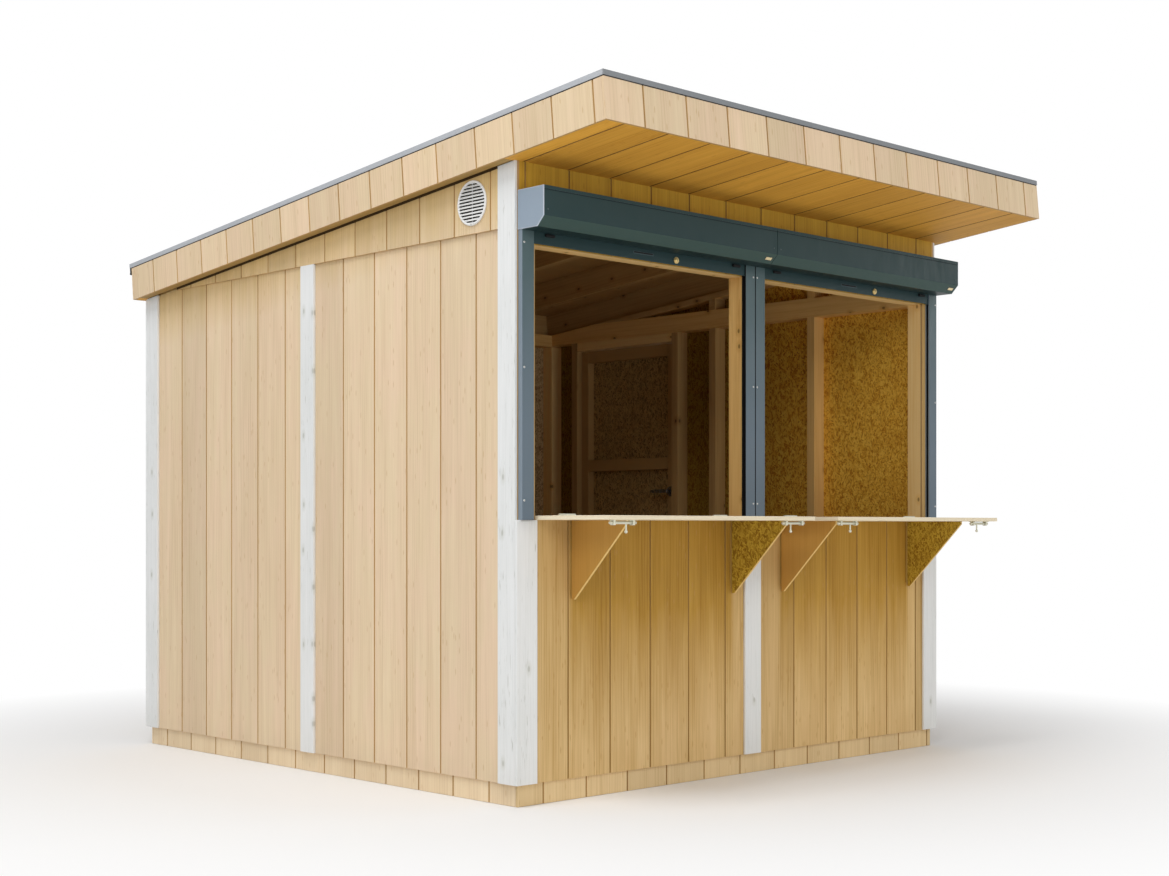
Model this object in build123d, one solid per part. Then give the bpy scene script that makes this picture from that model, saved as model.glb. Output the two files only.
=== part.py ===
from build123d import *
import os
from math import cos, radians, sqrt, tan

# Footprint over the skirt boards; the front faces -Y and the floor's middle is the origin
hut_width = 2377.0
hut_depth = 2525.0

# Floor
joist_width = 45.0
joist_height = 57.0
joist_count = 7
floor_deck_thickness = 19.0

# Wall frame; drops and rises are taken from the roof's underside at the wall
wall_depth = 70.0
stud_width = 45.0
plate_height = 45.0
corner_post_size = 70.0
mid_post_width = 90.0
side_plate_height = 90.0
side_plate_drop_height = 41.5
back_plate_drop_height = 47.5
gable_plate_thickness = 28.0
stud_shares = (0.25, 0.5, 0.75)

# Hatches
sill_height = 990.0
header_height = 95.0
header_drop_height = 279.5

# Cladding and trim
siding_thickness = 9.5
panel_gap = 1.0
gable_rise_height = 15.5
gable_top_gap = 8.0
trim_thickness = 11.0
corner_board_width = 94.0
batten_width = 92.0

# Round vent on the left gable
vent_diameter = 160.0
vent_setback_depth = 222.0
vent_gap_share = 0.37
vent_flange_thickness = 8.0
vent_slat_count = 10
vent_slat_thickness = 4.0
vent_grille_diameter = 132.0
vent_hole_diameter = 138.0

# Roof: a flat slab that falls to the back
roof_pitch = 5.45
rear_eaves_height = 1984.5
front_overhang_depth = 520.0
rear_overhang_depth = 46.0
side_overhang_width = 68.0
rafter_width = 45.0
rafter_depth = 120.0
roof_deck_thickness = 12.0
membrane_thickness = 2.0
kerb_height = 20.0
kerb_width = 25.0
edge_trim_thickness = 2.0
edge_trim_gap = 7.0
edge_trim_tail_length = 15.0
drip_height = 22.0
drip_bead_radius = 4.5

# Roller shutters
shutter_box_size = 137.0
shutter_box_rise_height = 42.0
shutter_box_chamfer = 34.0
shutter_box_thickness = 2.0
shutter_cap_thickness = 4.0
shutter_box_gap = 2.0
rail_outset_width = 5.0
rail_width = 53.0
rail_depth = 22.0
rail_thickness = 2.0
rail_mid_gap = 5.0
bar_thickness = 10.0
bar_drop_height = 41.0
bar_top_height = 12.0
bar_rail_length = 30.0
bar_clearance = 0.3

# Counters
counter_thickness = 15.0
counter_reach_depth = 385.5
counter_end_gap = 13.0
counter_hinge_gap = 5.0
counter_hinge_shares = (0.13, 0.87)

# Folding brackets, each set in from the nearest end of its counter
bracket_1_inset = 184.5
bracket_2_inset = 50.0
bracket_3_inset = 113.5
bracket_4_inset = 124.0
bracket_size = 280.0
bracket_nose_width = 12.0
bracket_thickness = 9.5
bracket_counter_gap = 0.4

# Barrel bolts under the counters
bolt_inset = 92.0
bolt_setback_depth = 15.0
bolt_plate_length = 104.0
bolt_plate_width = 30.0
bolt_plate_thickness = 2.0
bolt_rod_diameter = 10.0
bolt_rod_length = 125.0
bolt_clearance = 0.1
bolt_staple_length = 10.0
bolt_staple_thickness = 3.0
bolt_staple_spacing = 90.0
bolt_knob_diameter = 8.0
bolt_knob_length = 36.0
bolt_knob_offset = 15.0

# Door in the right wall, set in from the back of the hut
door_rear_inset = 275.0
door_width = 705.0
door_header_height = 43.0
door_gap = 5.0
door_frame_depth = 40.0
door_stile_width = 50.0
door_rail_height = 60.0
door_mid_rail_height = 1260.0
door_hinge_shares = (0.12, 0.5, 0.88)

# Lever handles
handle_height = 1147.0
handle_rose_diameter = 50.0
handle_rose_thickness = 8.0
handle_neck_diameter = 16.0
handle_neck_length = 38.0
handle_lever_length = 115.0
handle_lever_height = 18.0
handle_lever_thickness = 9.0

# Hinges
hinge_clearance = 0.1
hinge_end_gap = 0.5
counter_hinge_length = 75.0
counter_hinge_knuckle_radius = 4.0
counter_hinge_leaf_width = 28.0
bracket_hinge_end_inset = 20.0
bracket_hinge_knuckle_radius = 3.0
bracket_hinge_margin_width = 0.5
door_hinge_length = 100.0
door_hinge_knuckle_radius = 7.0
door_hinge_leaf_width = 45.0
hinge_leaf_thickness = 2.0
hinge_pin_share = 0.55

overcut_length = 5.0

# Worked-out places
left_x = -hut_width / 2
right_x = hut_width / 2
front_y = -hut_depth / 2
back_y = hut_depth / 2
floor_top = joist_height + floor_deck_thickness
stud_bottom = floor_top + plate_height
front_face = front_y - siding_thickness
back_face = back_y + siding_thickness
side_face = right_x + siding_thickness
trim_face = side_face + trim_thickness
roof_slope = tan(radians(roof_pitch))
front_wall_level = rear_eaves_height + hut_depth * roof_slope
eaves_height = front_wall_level + front_overhang_depth * roof_slope
side_plate_bottom = rear_eaves_height - side_plate_drop_height
back_plate_bottom = rear_eaves_height - back_plate_drop_height
gable_bottom = rear_eaves_height + gable_rise_height
header_bottom = front_wall_level - header_drop_height
shutter_box_bottom = header_bottom + shutter_box_rise_height
door_top = side_plate_bottom - door_header_height
vent_soffit_level = front_wall_level - vent_setback_depth * roof_slope
vent_spare_height = vent_soffit_level - gable_bottom - vent_diameter
vent_height = vent_soffit_level - vent_gap_share * vent_spare_height - vent_diameter / 2
roof_front_y = front_y - front_overhang_depth
roof_length = (front_overhang_depth + hut_depth + rear_overhang_depth) / cos(radians(roof_pitch))
roof_half_width = right_x + side_overhang_width
roof_inner_half = roof_half_width - siding_thickness
rafter_top = siding_thickness + rafter_depth
fascia_height = rafter_top + roof_deck_thickness
roof_frame = Pos(0, roof_front_y, eaves_height) * Rot(X=-roof_pitch)
front_plate_bottom = (
    front_wall_level - wall_depth * roof_slope
    + siding_thickness / cos(radians(roof_pitch)) - plate_height
)
hatch_outer_x = left_x + corner_post_size
hatch_inner_x = -mid_post_width / 2
side_studs = [front_y + hut_depth * share for share in stud_shares]
end_studs = [left_x + hut_width * share for share in stud_shares]
door_y = (back_y - door_rear_inset - door_width, back_y - door_rear_inset)


def block(x, y, z):
    """A box between pairs of limits."""
    middle = Pos((x[0] + x[1]) / 2, (y[0] + y[1]) / 2, (z[0] + z[1]) / 2)
    return middle * Box(x[1] - x[0], y[1] - y[0], z[1] - z[0])


def side_slab(x, outline):
    """A slab across X with an outline of (y, z) points."""
    edge = Polyline(*[(x[0], y, z) for y, z in outline], close=True)
    return extrude(make_face(edge), amount=x[1] - x[0], dir=(1, 0, 0))


def mirrored(part):
    return mirror(part, about=Plane.YZ)


def pair(part):
    """A piece on the left and its mirror image on the right."""
    return [part, mirrored(part)]


def roof_level(y, rise):
    """Height at depth y of a plane that lies a distance above the roof's underside."""
    return eaves_height - (y - roof_front_y) * roof_slope + rise / cos(radians(roof_pitch))


def roof_meets(z, rise):
    """Depth at which that plane comes down to height z."""
    return roof_front_y + (eaves_height + rise / cos(radians(roof_pitch)) - z) / roof_slope


def hinge(length, knuckle, leaf_width):
    """A butt hinge lying open and flat: pin along Z, fixed leaf to +X, moving leaf to -X."""
    pin = knuckle * hinge_pin_share
    reach = knuckle + hinge_end_gap
    third = length / 3
    seat = (-knuckle, -knuckle + hinge_leaf_thickness)
    leaf = block((reach, reach + leaf_width), seat, (-length / 2, length / 2))
    fixed = leaf + Cylinder(pin, length)
    for end in (-1, 1):
        span = (third / 2, length / 2) if end > 0 else (-length / 2, -third / 2)
        fixed += Pos(0, 0, end * third) * Cylinder(knuckle, third)
        fixed += block((0, reach), seat, span)
    inner = third / 2 - hinge_end_gap
    moving = Cylinder(knuckle, 2 * inner) + block((-reach, 0), seat, (-inner, inner))
    moving += mirrored(leaf)
    moving -= Cylinder(pin + hinge_clearance, length)
    return fixed, moving


def floor():
    inner_x = right_x - siding_thickness
    inner_y = back_y - siding_thickness
    rim = block((-inner_x, inner_x), (-inner_y, -inner_y + joist_width), (0, joist_height))
    pitch = (2 * inner_x - joist_width) / (joist_count - 1)
    joist_y = (-inner_y + joist_width, inner_y - joist_width)
    joists = []
    for step in range(joist_count):
        x = -inner_x + step * pitch
        joists.append(block((x, x + joist_width), joist_y, (0, joist_height)))
    deck = block((-inner_x, inner_x), (-inner_y, inner_y), (joist_height, floor_top))
    skirt_end = block((left_x, right_x), (front_y, -inner_y), (0, floor_top))
    skirt_y = (-inner_y + panel_gap, inner_y - panel_gap)
    skirt_side = block((left_x, -inner_x), skirt_y, (0, floor_top))
    return {
        "floor_joists": joists,
        "floor_rims": [rim, mirror(rim, about=Plane.XZ)],
        "floor_deck": [deck],
        "skirt_boards": [skirt_end, mirror(skirt_end, about=Plane.XZ)] + pair(skirt_side),
    }


def side_stud(y, top):
    return block((left_x, left_x + wall_depth), (y - stud_width / 2, y + stud_width / 2), (stud_bottom, top))


def end_stud(x, y, bottom, top):
    return block((x - stud_width / 2, x + stud_width / 2), y, (bottom, top))


def wall_frame():
    front_depth = (front_y, front_y + wall_depth)
    back_depth = (back_y - wall_depth, back_y)
    side_width = (left_x, left_x + wall_depth)
    between_y = (front_y + corner_post_size, back_y - corner_post_size)
    between_x = (left_x + corner_post_size, right_x - corner_post_size)
    plate_z = (floor_top, stud_bottom)

    post_x = (left_x, left_x + corner_post_size)
    front_post = block(post_x, front_depth, (floor_top, front_plate_bottom))
    back_post = block(post_x, back_depth, (floor_top, back_plate_bottom))

    jamb_front = door_y[0] - stud_width / 2
    jamb_rear = door_y[1] + stud_width / 2
    right_width = (right_x - wall_depth, right_x)
    bottom_plates = [
        block(between_x, front_depth, plate_z),
        block(between_x, back_depth, plate_z),
        block(side_width, between_y, plate_z),
        block(right_width, (between_y[0], door_y[0] - stud_width), plate_z),
        block(right_width, (door_y[1] + stud_width, between_y[1]), plate_z),
    ]

    studs = [side_stud(y, side_plate_bottom) for y in side_studs]
    studs += [mirrored(side_stud(y, side_plate_bottom)) for y in side_studs[:2]]
    for y in (jamb_front, jamb_rear):
        jamb_y = (y - stud_width / 2, y + stud_width / 2)
        studs.append(block(right_width, jamb_y, (floor_top, side_plate_bottom)))
    studs += [end_stud(x, back_depth, stud_bottom, back_plate_bottom) for x in end_studs]
    mid_x = (-mid_post_width / 2, mid_post_width / 2)
    studs.append(block(mid_x, front_depth, (stud_bottom, header_bottom)))
    for x in (end_studs[0], end_studs[2]):
        studs.append(end_stud(x, front_depth, stud_bottom, sill_height - plate_height))
    header_top = header_bottom + header_height
    studs += [end_stud(x, front_depth, header_top, front_plate_bottom) for x in end_studs]

    hatch_header = block(between_x, front_depth, (header_bottom, header_top))
    door_header = block(right_width, door_y, (door_top, side_plate_bottom))
    sill = block((hatch_outer_x, hatch_inner_x), front_depth, (sill_height - plate_height, sill_height))

    plate_top = side_plate_bottom + side_plate_height
    slope_y = roof_meets(plate_top, siding_thickness)
    side_plate = side_slab(side_width, [
        (between_y[0], side_plate_bottom),
        (between_y[1], side_plate_bottom),
        (between_y[1], roof_level(between_y[1], siding_thickness)),
        (slope_y, plate_top),
        (between_y[0], plate_top),
    ])
    front_plate = side_slab((left_x, right_x), [
        (front_depth[0], front_plate_bottom),
        (front_depth[1], front_plate_bottom),
        (front_depth[1], roof_level(front_depth[1], siding_thickness)),
        (front_depth[0], roof_level(front_depth[0], siding_thickness)),
    ])
    back_plate = side_slab((left_x, right_x), [
        (back_depth[0], back_plate_bottom),
        (back_depth[1], back_plate_bottom),
        (back_depth[1], roof_level(back_depth[1], siding_thickness)),
        (back_depth[0], roof_level(back_depth[0], siding_thickness)),
    ])

    gable_under = siding_thickness - gable_plate_thickness
    gable_plate = side_slab(side_width, [
        (between_y[0], roof_level(between_y[0], gable_under)),
        (roof_meets(plate_top, gable_under), plate_top),
        (slope_y, plate_top),
        (between_y[0], roof_level(between_y[0], siding_thickness)),
    ])
    gable_studs = []
    for y in side_studs[:2]:
        low, high = y - stud_width / 2, y + stud_width / 2
        stud = side_slab(side_width, [
            (low, plate_top),
            (high, plate_top),
            (high, roof_level(high, gable_under)),
            (low, roof_level(low, gable_under)),
        ])
        gable_studs += pair(stud)
    return {
        "corner_posts": pair(front_post) + pair(back_post),
        "bottom_plates": bottom_plates,
        "wall_studs": studs,
        "headers": [hatch_header, door_header],
        "hatch_sills": pair(sill),
        "side_top_plates": pair(side_plate),
        "end_top_plates": [front_plate, back_plate],
        "gable_plates": pair(gable_plate),
        "gable_studs": gable_studs,
    }


def vent_axis(diameter, x):
    """A round bar through the left gable at the vent."""
    place = Pos((x[0] + x[1]) / 2, front_y + vent_setback_depth, vent_height)
    return place * Rot(Y=90) * Cylinder(diameter / 2, x[1] - x[0])


def cladding():
    side_x = (-side_face, left_x)
    end_y = (front_face, back_face)
    left = side_slab(side_x, [
        (end_y[0], floor_top),
        (end_y[1], floor_top),
        (end_y[1], roof_level(end_y[1], 0)),
        (end_y[0], roof_level(end_y[0], 0)),
    ])
    vent_hole = vent_axis(vent_hole_diameter, (-trim_face - overcut_length, left_x + overcut_length))
    left -= vent_hole

    right_span = (right_x, side_face)
    right_front = side_slab(right_span, [
        (end_y[0], floor_top),
        (door_y[0], floor_top),
        (door_y[0], roof_level(door_y[0], 0)),
        (end_y[0], roof_level(end_y[0], 0)),
    ])
    over_y = (door_y[0] + panel_gap, door_y[1] - panel_gap)
    right_over = side_slab(right_span, [
        (over_y[0], door_top),
        (over_y[1], door_top),
        (over_y[1], roof_level(over_y[1], 0)),
        (over_y[0], roof_level(over_y[0], 0)),
    ])
    right_rear = side_slab(right_span, [
        (door_y[1], floor_top),
        (end_y[1], floor_top),
        (end_y[1], roof_level(end_y[1], 0)),
        (door_y[1], roof_level(door_y[1], 0)),
    ])

    back = side_slab((left_x, right_x), [
        (back_y, floor_top),
        (back_face, floor_top),
        (back_face, roof_level(back_face, 0)),
        (back_y, roof_level(back_y, 0)),
    ])
    front_lower = block((left_x, right_x), (front_face, front_y), (floor_top, sill_height))
    front_upper = side_slab((left_x, right_x), [
        (front_face, header_bottom),
        (front_y, header_bottom),
        (front_y, roof_level(front_y, 0)),
        (front_face, roof_level(front_face, 0)),
    ])
    jamb_z = (sill_height + panel_gap, header_bottom - panel_gap)
    jamb_strip = block((left_x, hatch_outer_x), (front_face, front_y), jamb_z)
    mid_strip = block((hatch_inner_x, -hatch_inner_x), (front_face, front_y), jamb_z)

    gable_start = front_y + corner_board_width - trim_thickness + panel_gap
    gable_x = (-side_face - siding_thickness, -side_face)
    gable = side_slab(gable_x, [
        (gable_start, gable_bottom),
        (roof_meets(gable_bottom, -gable_top_gap), gable_bottom),
        (gable_start, roof_level(gable_start, -gable_top_gap)),
    ])
    return {
        "siding_left": [left],
        "siding_right": [right_front, right_over, right_rear],
        "siding_back": [back],
        "siding_front": [front_lower, front_upper, mid_strip] + pair(jamb_strip),
        "gable_panels": [gable - vent_hole, mirrored(gable)],
    }


def white_trim():
    side_x = (-trim_face, -side_face)
    side_boards = []
    for low, high in (
        (front_face, front_y + corner_board_width - trim_thickness),
        (back_y - corner_board_width + trim_thickness, back_face),
    ):
        side_boards += pair(side_slab(side_x, [
            (low, floor_top),
            (high, floor_top),
            (high, roof_level(high, 0)),
            (low, roof_level(low, 0)),
        ]))
    end_x = (-trim_face, -trim_face + corner_board_width)
    front_depth = (front_face - trim_thickness, front_face - panel_gap)
    back_depth = (back_face + panel_gap, back_face + trim_thickness)
    back_top = roof_level(back_depth[1], 0)
    front_board = block(end_x, front_depth, (floor_top, sill_height))
    back_board = block(end_x, back_depth, (floor_top, back_top))
    half = batten_width / 2
    side_batten = block(side_x, (-half, half), (floor_top, gable_bottom))
    front_batten = block((-half, half), (front_face - trim_thickness, front_face), (floor_top, sill_height))
    back_batten = block((-half, half), (back_face, back_face + trim_thickness), (floor_top, back_top))
    return {
        "corner_boards": side_boards + pair(front_board) + pair(back_board),
        "mid_battens": pair(side_batten) + [front_batten, back_batten],
    }


def vent():
    """A round plate over the hole in the gable, with slots between its slats."""
    outer = -side_face - siding_thickness
    plate_x = (outer - vent_flange_thickness, outer)
    grille = vent_axis(vent_diameter, plate_x)
    pitch = (vent_grille_diameter - vent_slat_thickness) / (vent_slat_count + 1)
    half_slot = (pitch - vent_slat_thickness) / 2
    centre = front_y + vent_setback_depth
    for step in range(vent_slat_count + 1):
        rise = (step - vent_slat_count / 2) * pitch
        half = sqrt((vent_grille_diameter / 2) ** 2 - (abs(rise) + half_slot) ** 2)
        slot_z = (vent_height + rise - half_slot, vent_height + rise + half_slot)
        grille -= block(plate_x, (centre - half, centre + half), slot_z)
    return {"gable_vent": [grille]}


def roof():
    inner_x = (-roof_inner_half, roof_inner_half)
    outer_x = (-roof_half_width, roof_half_width)
    skin = siding_thickness
    rim_end = skin + rafter_width
    frame_n = (skin, rafter_top)

    front_rim = block(inner_x, (skin, rim_end), frame_n)
    back_rim = block(inner_x, (roof_length - rim_end, roof_length - skin), frame_n)
    run = (rim_end, roof_length - rim_end)
    side_rim = block((-roof_inner_half, -roof_inner_half + rafter_width), run, frame_n)
    half = rafter_width / 2
    end_rafter = block((left_x, left_x + rafter_width), run, frame_n)
    rafters = [block((x - half, x + half), run, frame_n) for x in end_studs] + pair(end_rafter)
    deck = block(inner_x, (skin, roof_length - skin), (rafter_top, fascia_height))

    fascia_front = block(outer_x, (0, skin), (0, fascia_height))
    fascia_back = block(outer_x, (roof_length - skin, roof_length), (0, fascia_height))
    fascia_run = (skin + panel_gap, roof_length - skin - panel_gap)
    fascia_side = block((-roof_half_width, -roof_inner_half), fascia_run, (0, fascia_height))

    slope = cos(radians(roof_pitch))
    front_wall = front_overhang_depth / slope - skin * roof_slope
    back_wall = (front_overhang_depth + hut_depth) / slope
    soffit_front = block(inner_x, (skin, front_wall), (0, skin))
    soffit_back = block(inner_x, (back_wall, roof_length - skin), (0, skin))
    strip_run = (front_wall + panel_gap, back_wall - panel_gap)
    soffit_side = block((-roof_inner_half, left_x), strip_run, (0, skin))

    sheet_top = fascia_height + membrane_thickness
    kerb_top = fascia_height + kerb_height
    sheet_end = roof_length + edge_trim_tail_length
    membrane = block(outer_x, (0, sheet_end), (fascia_height, sheet_top))
    kerb_x = (-roof_half_width, -roof_half_width + kerb_width)
    for kerb in pair(block(kerb_x, (0, sheet_end), (sheet_top, kerb_top))):
        membrane += kerb
    membrane += block(outer_x, (0, kerb_width), (sheet_top, kerb_top))

    metal = edge_trim_thickness
    leg_n = (fascia_height + edge_trim_gap, kerb_top)
    flange_n = (kerb_top, kerb_top + metal)
    trim_half = roof_half_width + metal
    front_trim = block((-trim_half, trim_half), (-metal, 0), leg_n)
    front_trim += block((-trim_half, trim_half), (-metal, kerb_width), flange_n)
    side_trim = block((-trim_half, -roof_half_width), (panel_gap, sheet_end), leg_n)
    side_trim += block((-trim_half, kerb_x[1]), (kerb_width + panel_gap, sheet_end), flange_n)

    drip = block(outer_x, (roof_length, sheet_end), (fascia_height - metal, fascia_height))
    drip_v = (sheet_end - metal, sheet_end)
    bead_n = fascia_height - drip_height
    drip += block(outer_x, drip_v, (bead_n, fascia_height))
    bead_place = Pos(0, sheet_end - metal / 2, bead_n) * Rot(Y=90)
    drip += bead_place * Cylinder(drip_bead_radius, 2 * roof_half_width)

    nodes = {
        "rafters": rafters,
        "roof_end_rims": [front_rim, back_rim],
        "roof_side_rims": pair(side_rim),
        "roof_deck": [deck],
        "roof_membrane": [membrane],
        "fascia_boards": [fascia_front, fascia_back] + pair(fascia_side),
        "soffit_boards": [soffit_front, soffit_back] + pair(soffit_side),
        "edge_trim": [front_trim] + pair(side_trim),
        "drip_edge": [drip],
    }
    return {name: [roof_frame * piece for piece in pieces] for name, pieces in nodes.items()}


def rail_edges():
    """Limits in X of the outer and the inner guide rail of the left shutter."""
    outer = left_x - rail_outset_width
    inner = -rail_mid_gap / 2
    return (outer, outer + rail_width), (inner - rail_width, inner)


def bar_ends():
    """Limits in X of the left shutter's bottom bar, which runs in the rails."""
    outer, inner = rail_edges()
    return outer[1] - bar_rail_length, inner[0] + bar_rail_length


def shutter_box():
    top = shutter_box_bottom + shutter_box_size
    nose = front_face - shutter_box_size
    x = (left_x - rail_outset_width, -shutter_box_gap / 2)
    outline = Polyline(
        (x[0], front_face, shutter_box_bottom),
        (x[0], front_face, top),
        (x[0], nose, top),
        (x[0], nose, shutter_box_bottom + shutter_box_chamfer),
        (x[0], nose + shutter_box_chamfer, shutter_box_bottom),
        close=True,
    )
    section = make_face(outline)
    hollow = offset(section, amount=-shutter_box_thickness, kind=Kind.INTERSECTION)
    shell = extrude(section, amount=x[1] - x[0], dir=(1, 0, 0))
    inner_length = x[1] - x[0] - 2 * shutter_cap_thickness
    shell -= Pos(shutter_cap_thickness, 0, 0) * extrude(hollow, amount=inner_length, dir=(1, 0, 0))
    bar_x = bar_ends()
    slot_x = (bar_x[0] - bar_clearance, bar_x[1] + bar_clearance)
    slot_y = (front_face - rail_depth + rail_thickness, front_face - rail_thickness)
    slot_top = shutter_box_bottom + shutter_box_thickness + overcut_length
    slot_z = (shutter_box_bottom - overcut_length, slot_top)
    return shell - block(slot_x, slot_y, slot_z)


def guide_rail(x, open_side):
    """A hollow rail with a slot for the curtain along one edge."""
    y = (front_face - rail_depth, front_face)
    z = (sill_height, shutter_box_bottom)
    inner_x = (x[0] + rail_thickness, x[1] - rail_thickness)
    inner_y = (y[0] + rail_thickness, y[1] - rail_thickness)
    cut_z = (z[0] - overcut_length, z[1] + overcut_length)
    rail = block(x, y, z) - block(inner_x, inner_y, cut_z)
    edge = x[1] if open_side > 0 else x[0]
    slot_half = bar_thickness / 2 + bar_clearance
    slot_mid = front_face - rail_depth / 2
    slot_y = (slot_mid - slot_half, slot_mid + slot_half)
    slot_x = (edge - rail_thickness - overcut_length, edge + rail_thickness + overcut_length)
    return rail - block(slot_x, slot_y, cut_z)


def shutters():
    outer, inner = rail_edges()
    mid = front_face - rail_depth / 2
    bar_y = (mid - bar_thickness / 2, mid + bar_thickness / 2)
    bar_z = (shutter_box_bottom - bar_drop_height, shutter_box_bottom + bar_top_height)
    bar = block(bar_ends(), bar_y, bar_z)
    return {
        "shutter_boxes": pair(shutter_box()),
        "guide_rails": pair(guide_rail(outer, 1)) + pair(guide_rail(inner, -1)),
        "shutter_bottom_bars": pair(bar),
    }


def counter_limits():
    """Limits in X of the left counter, and the depth and height of its hinge pin."""
    outer, inner = rail_edges()
    pin_y = front_face - rail_depth - counter_hinge_gap / 2
    pin_z = sill_height + counter_thickness + counter_hinge_knuckle_radius
    return (outer[1] + counter_end_gap, inner[0] - counter_end_gap), pin_y, pin_z


def barrel_bolt(x, outward):
    """Plate with two staples, and the rod that slides through them."""
    underside = sill_height
    y = front_face - counter_reach_depth + bolt_setback_depth + bolt_plate_width / 2
    radius = bolt_rod_diameter / 2
    plate_bottom = underside - bolt_plate_thickness
    rod_z = plate_bottom - bolt_staple_thickness - radius
    staple_half = radius + bolt_staple_thickness
    base = block(
        (x - bolt_plate_length / 2, x + bolt_plate_length / 2),
        (y - bolt_plate_width / 2, y + bolt_plate_width / 2),
        (plate_bottom, underside),
    )
    hole = radius + bolt_clearance
    for end in (-1, 1):
        mid = x + end * bolt_staple_spacing / 2
        staple_x = (mid - bolt_staple_length / 2, mid + bolt_staple_length / 2)
        base += block(staple_x, (y - staple_half, y + staple_half), (rod_z - staple_half, plate_bottom))
        base -= block(staple_x, (y - hole, y + hole), (rod_z - hole, rod_z + hole))
    rod = Pos(x, y, rod_z) * Rot(Y=90) * Cylinder(radius, bolt_rod_length)
    knob_z = rod_z - bolt_knob_length / 2
    place = Pos(x - outward * bolt_knob_offset, y, knob_z)
    return base, rod + place * Cylinder(bolt_knob_diameter / 2, bolt_knob_length)


def counters():
    x, pin_y, pin_z = counter_limits()
    half_gap = counter_hinge_gap / 2
    z = (sill_height, sill_height + counter_thickness)
    board = block(x, (front_face - counter_reach_depth, pin_y - half_gap), z)
    sill_x = (hatch_outer_x + panel_gap, x[1])
    sill_board = block(sill_x, (pin_y + half_gap, front_y + wall_depth), z)
    fixed_leaves = []
    moving_leaves = []
    for share in counter_hinge_shares:
        place = (x[0] + share * (x[1] - x[0]), pin_y, pin_z)
        seat = Plane(origin=place, x_dir=(0, 1, 0), z_dir=(1, 0, 0)).location
        fixed, moving = hinge(counter_hinge_length, counter_hinge_knuckle_radius, counter_hinge_leaf_width)
        fixed_leaves.append(seat * fixed)
        moving_leaves.append(seat * moving)
    outer_base, outer_rod = barrel_bolt(x[0] + bolt_inset, -1)
    inner_base, inner_rod = barrel_bolt(x[1] - bolt_inset, 1)
    hardware = moving_leaves + [outer_base, inner_base]
    nodes = {
        "sill_boards": pair(sill_board),
        "counter_left": [board],
        "counter_right": [mirrored(board)],
        "counter_left_hardware": hardware,
        "counter_right_hardware": [mirrored(piece) for piece in hardware],
        "bolt_1": [outer_rod],
        "bolt_2": [inner_rod],
        "bolt_3": [mirrored(inner_rod)],
        "bolt_4": [mirrored(outer_rod)],
    }
    fixed_all = [piece for leaf in fixed_leaves for piece in pair(leaf)]
    return nodes, fixed_all


def bracket_seats():
    """Places in X of the inner faces of the four brackets, which lie on the side they fold to."""
    outer, inner = counter_limits()[0]
    left_pair = (outer + bracket_1_inset, inner - bracket_2_inset)
    return *left_pair, bracket_3_inset - inner, -outer - bracket_4_inset


def bracket_at_middle():
    """A bracket that folds towards +X, with its inner face on the middle plane."""
    radius = bracket_hinge_knuckle_radius
    top = sill_height - bracket_counter_gap
    wall = front_face - 2 * radius
    tip = wall - bracket_size
    bottom = top - bracket_size
    panel = side_slab((-bracket_thickness, 0), [
        (wall, top),
        (tip, top),
        (tip, top - bracket_nose_width),
        (wall - bracket_nose_width, bottom),
        (wall, bottom),
    ])
    pin = (radius, front_face - radius, (top + bottom) / 2)
    seat = Plane(origin=pin, x_dir=(-1, 0, 0), z_dir=(0, 0, 1)).location
    leaf_width = bracket_thickness - hinge_end_gap - bracket_hinge_margin_width
    fixed, moving = hinge(bracket_size - 2 * bracket_hinge_end_inset, radius, leaf_width)
    return panel, seat * fixed, seat * Rot(Z=180) * moving


def brackets():
    panel, fixed, moving = bracket_at_middle()
    nodes = {}
    fixed_all = []
    for number, place in enumerate(bracket_seats(), 1):
        seat = Pos(place, 0, 0)
        if number % 2:
            turned = panel, fixed, moving
        else:
            turned = mirrored(panel), mirrored(fixed), mirrored(moving)
        nodes[f"bracket_{number}"] = [seat * turned[0]]
        nodes[f"bracket_{number}_leaves"] = [seat * turned[2]]
        fixed_all.append(seat * turned[1])
    return nodes, fixed_all


def lever(x, side):
    """Rose, neck and lever on one face of the door."""
    y = door_y[0] + door_gap + door_stile_width / 2
    across = Pos(x, y, handle_height) * Rot(Y=90)
    rose = across * Pos(0, 0, side * handle_rose_thickness / 2)
    neck_end = handle_rose_thickness + handle_neck_length
    part = rose * Cylinder(handle_rose_diameter / 2, handle_rose_thickness)
    part += across * Pos(0, 0, side * neck_end / 2) * Cylinder(handle_neck_diameter / 2, neck_end)
    lever_x = x + side * neck_end
    start = y - handle_neck_diameter
    return part + block(
        (lever_x - handle_lever_thickness / 2, lever_x + handle_lever_thickness / 2),
        (start, start + handle_lever_length),
        (handle_height - handle_lever_height / 2, handle_height + handle_lever_height / 2),
    )


def door_pin():
    return right_x + siding_thickness + door_hinge_knuckle_radius, door_y[1] - door_gap / 2


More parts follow.
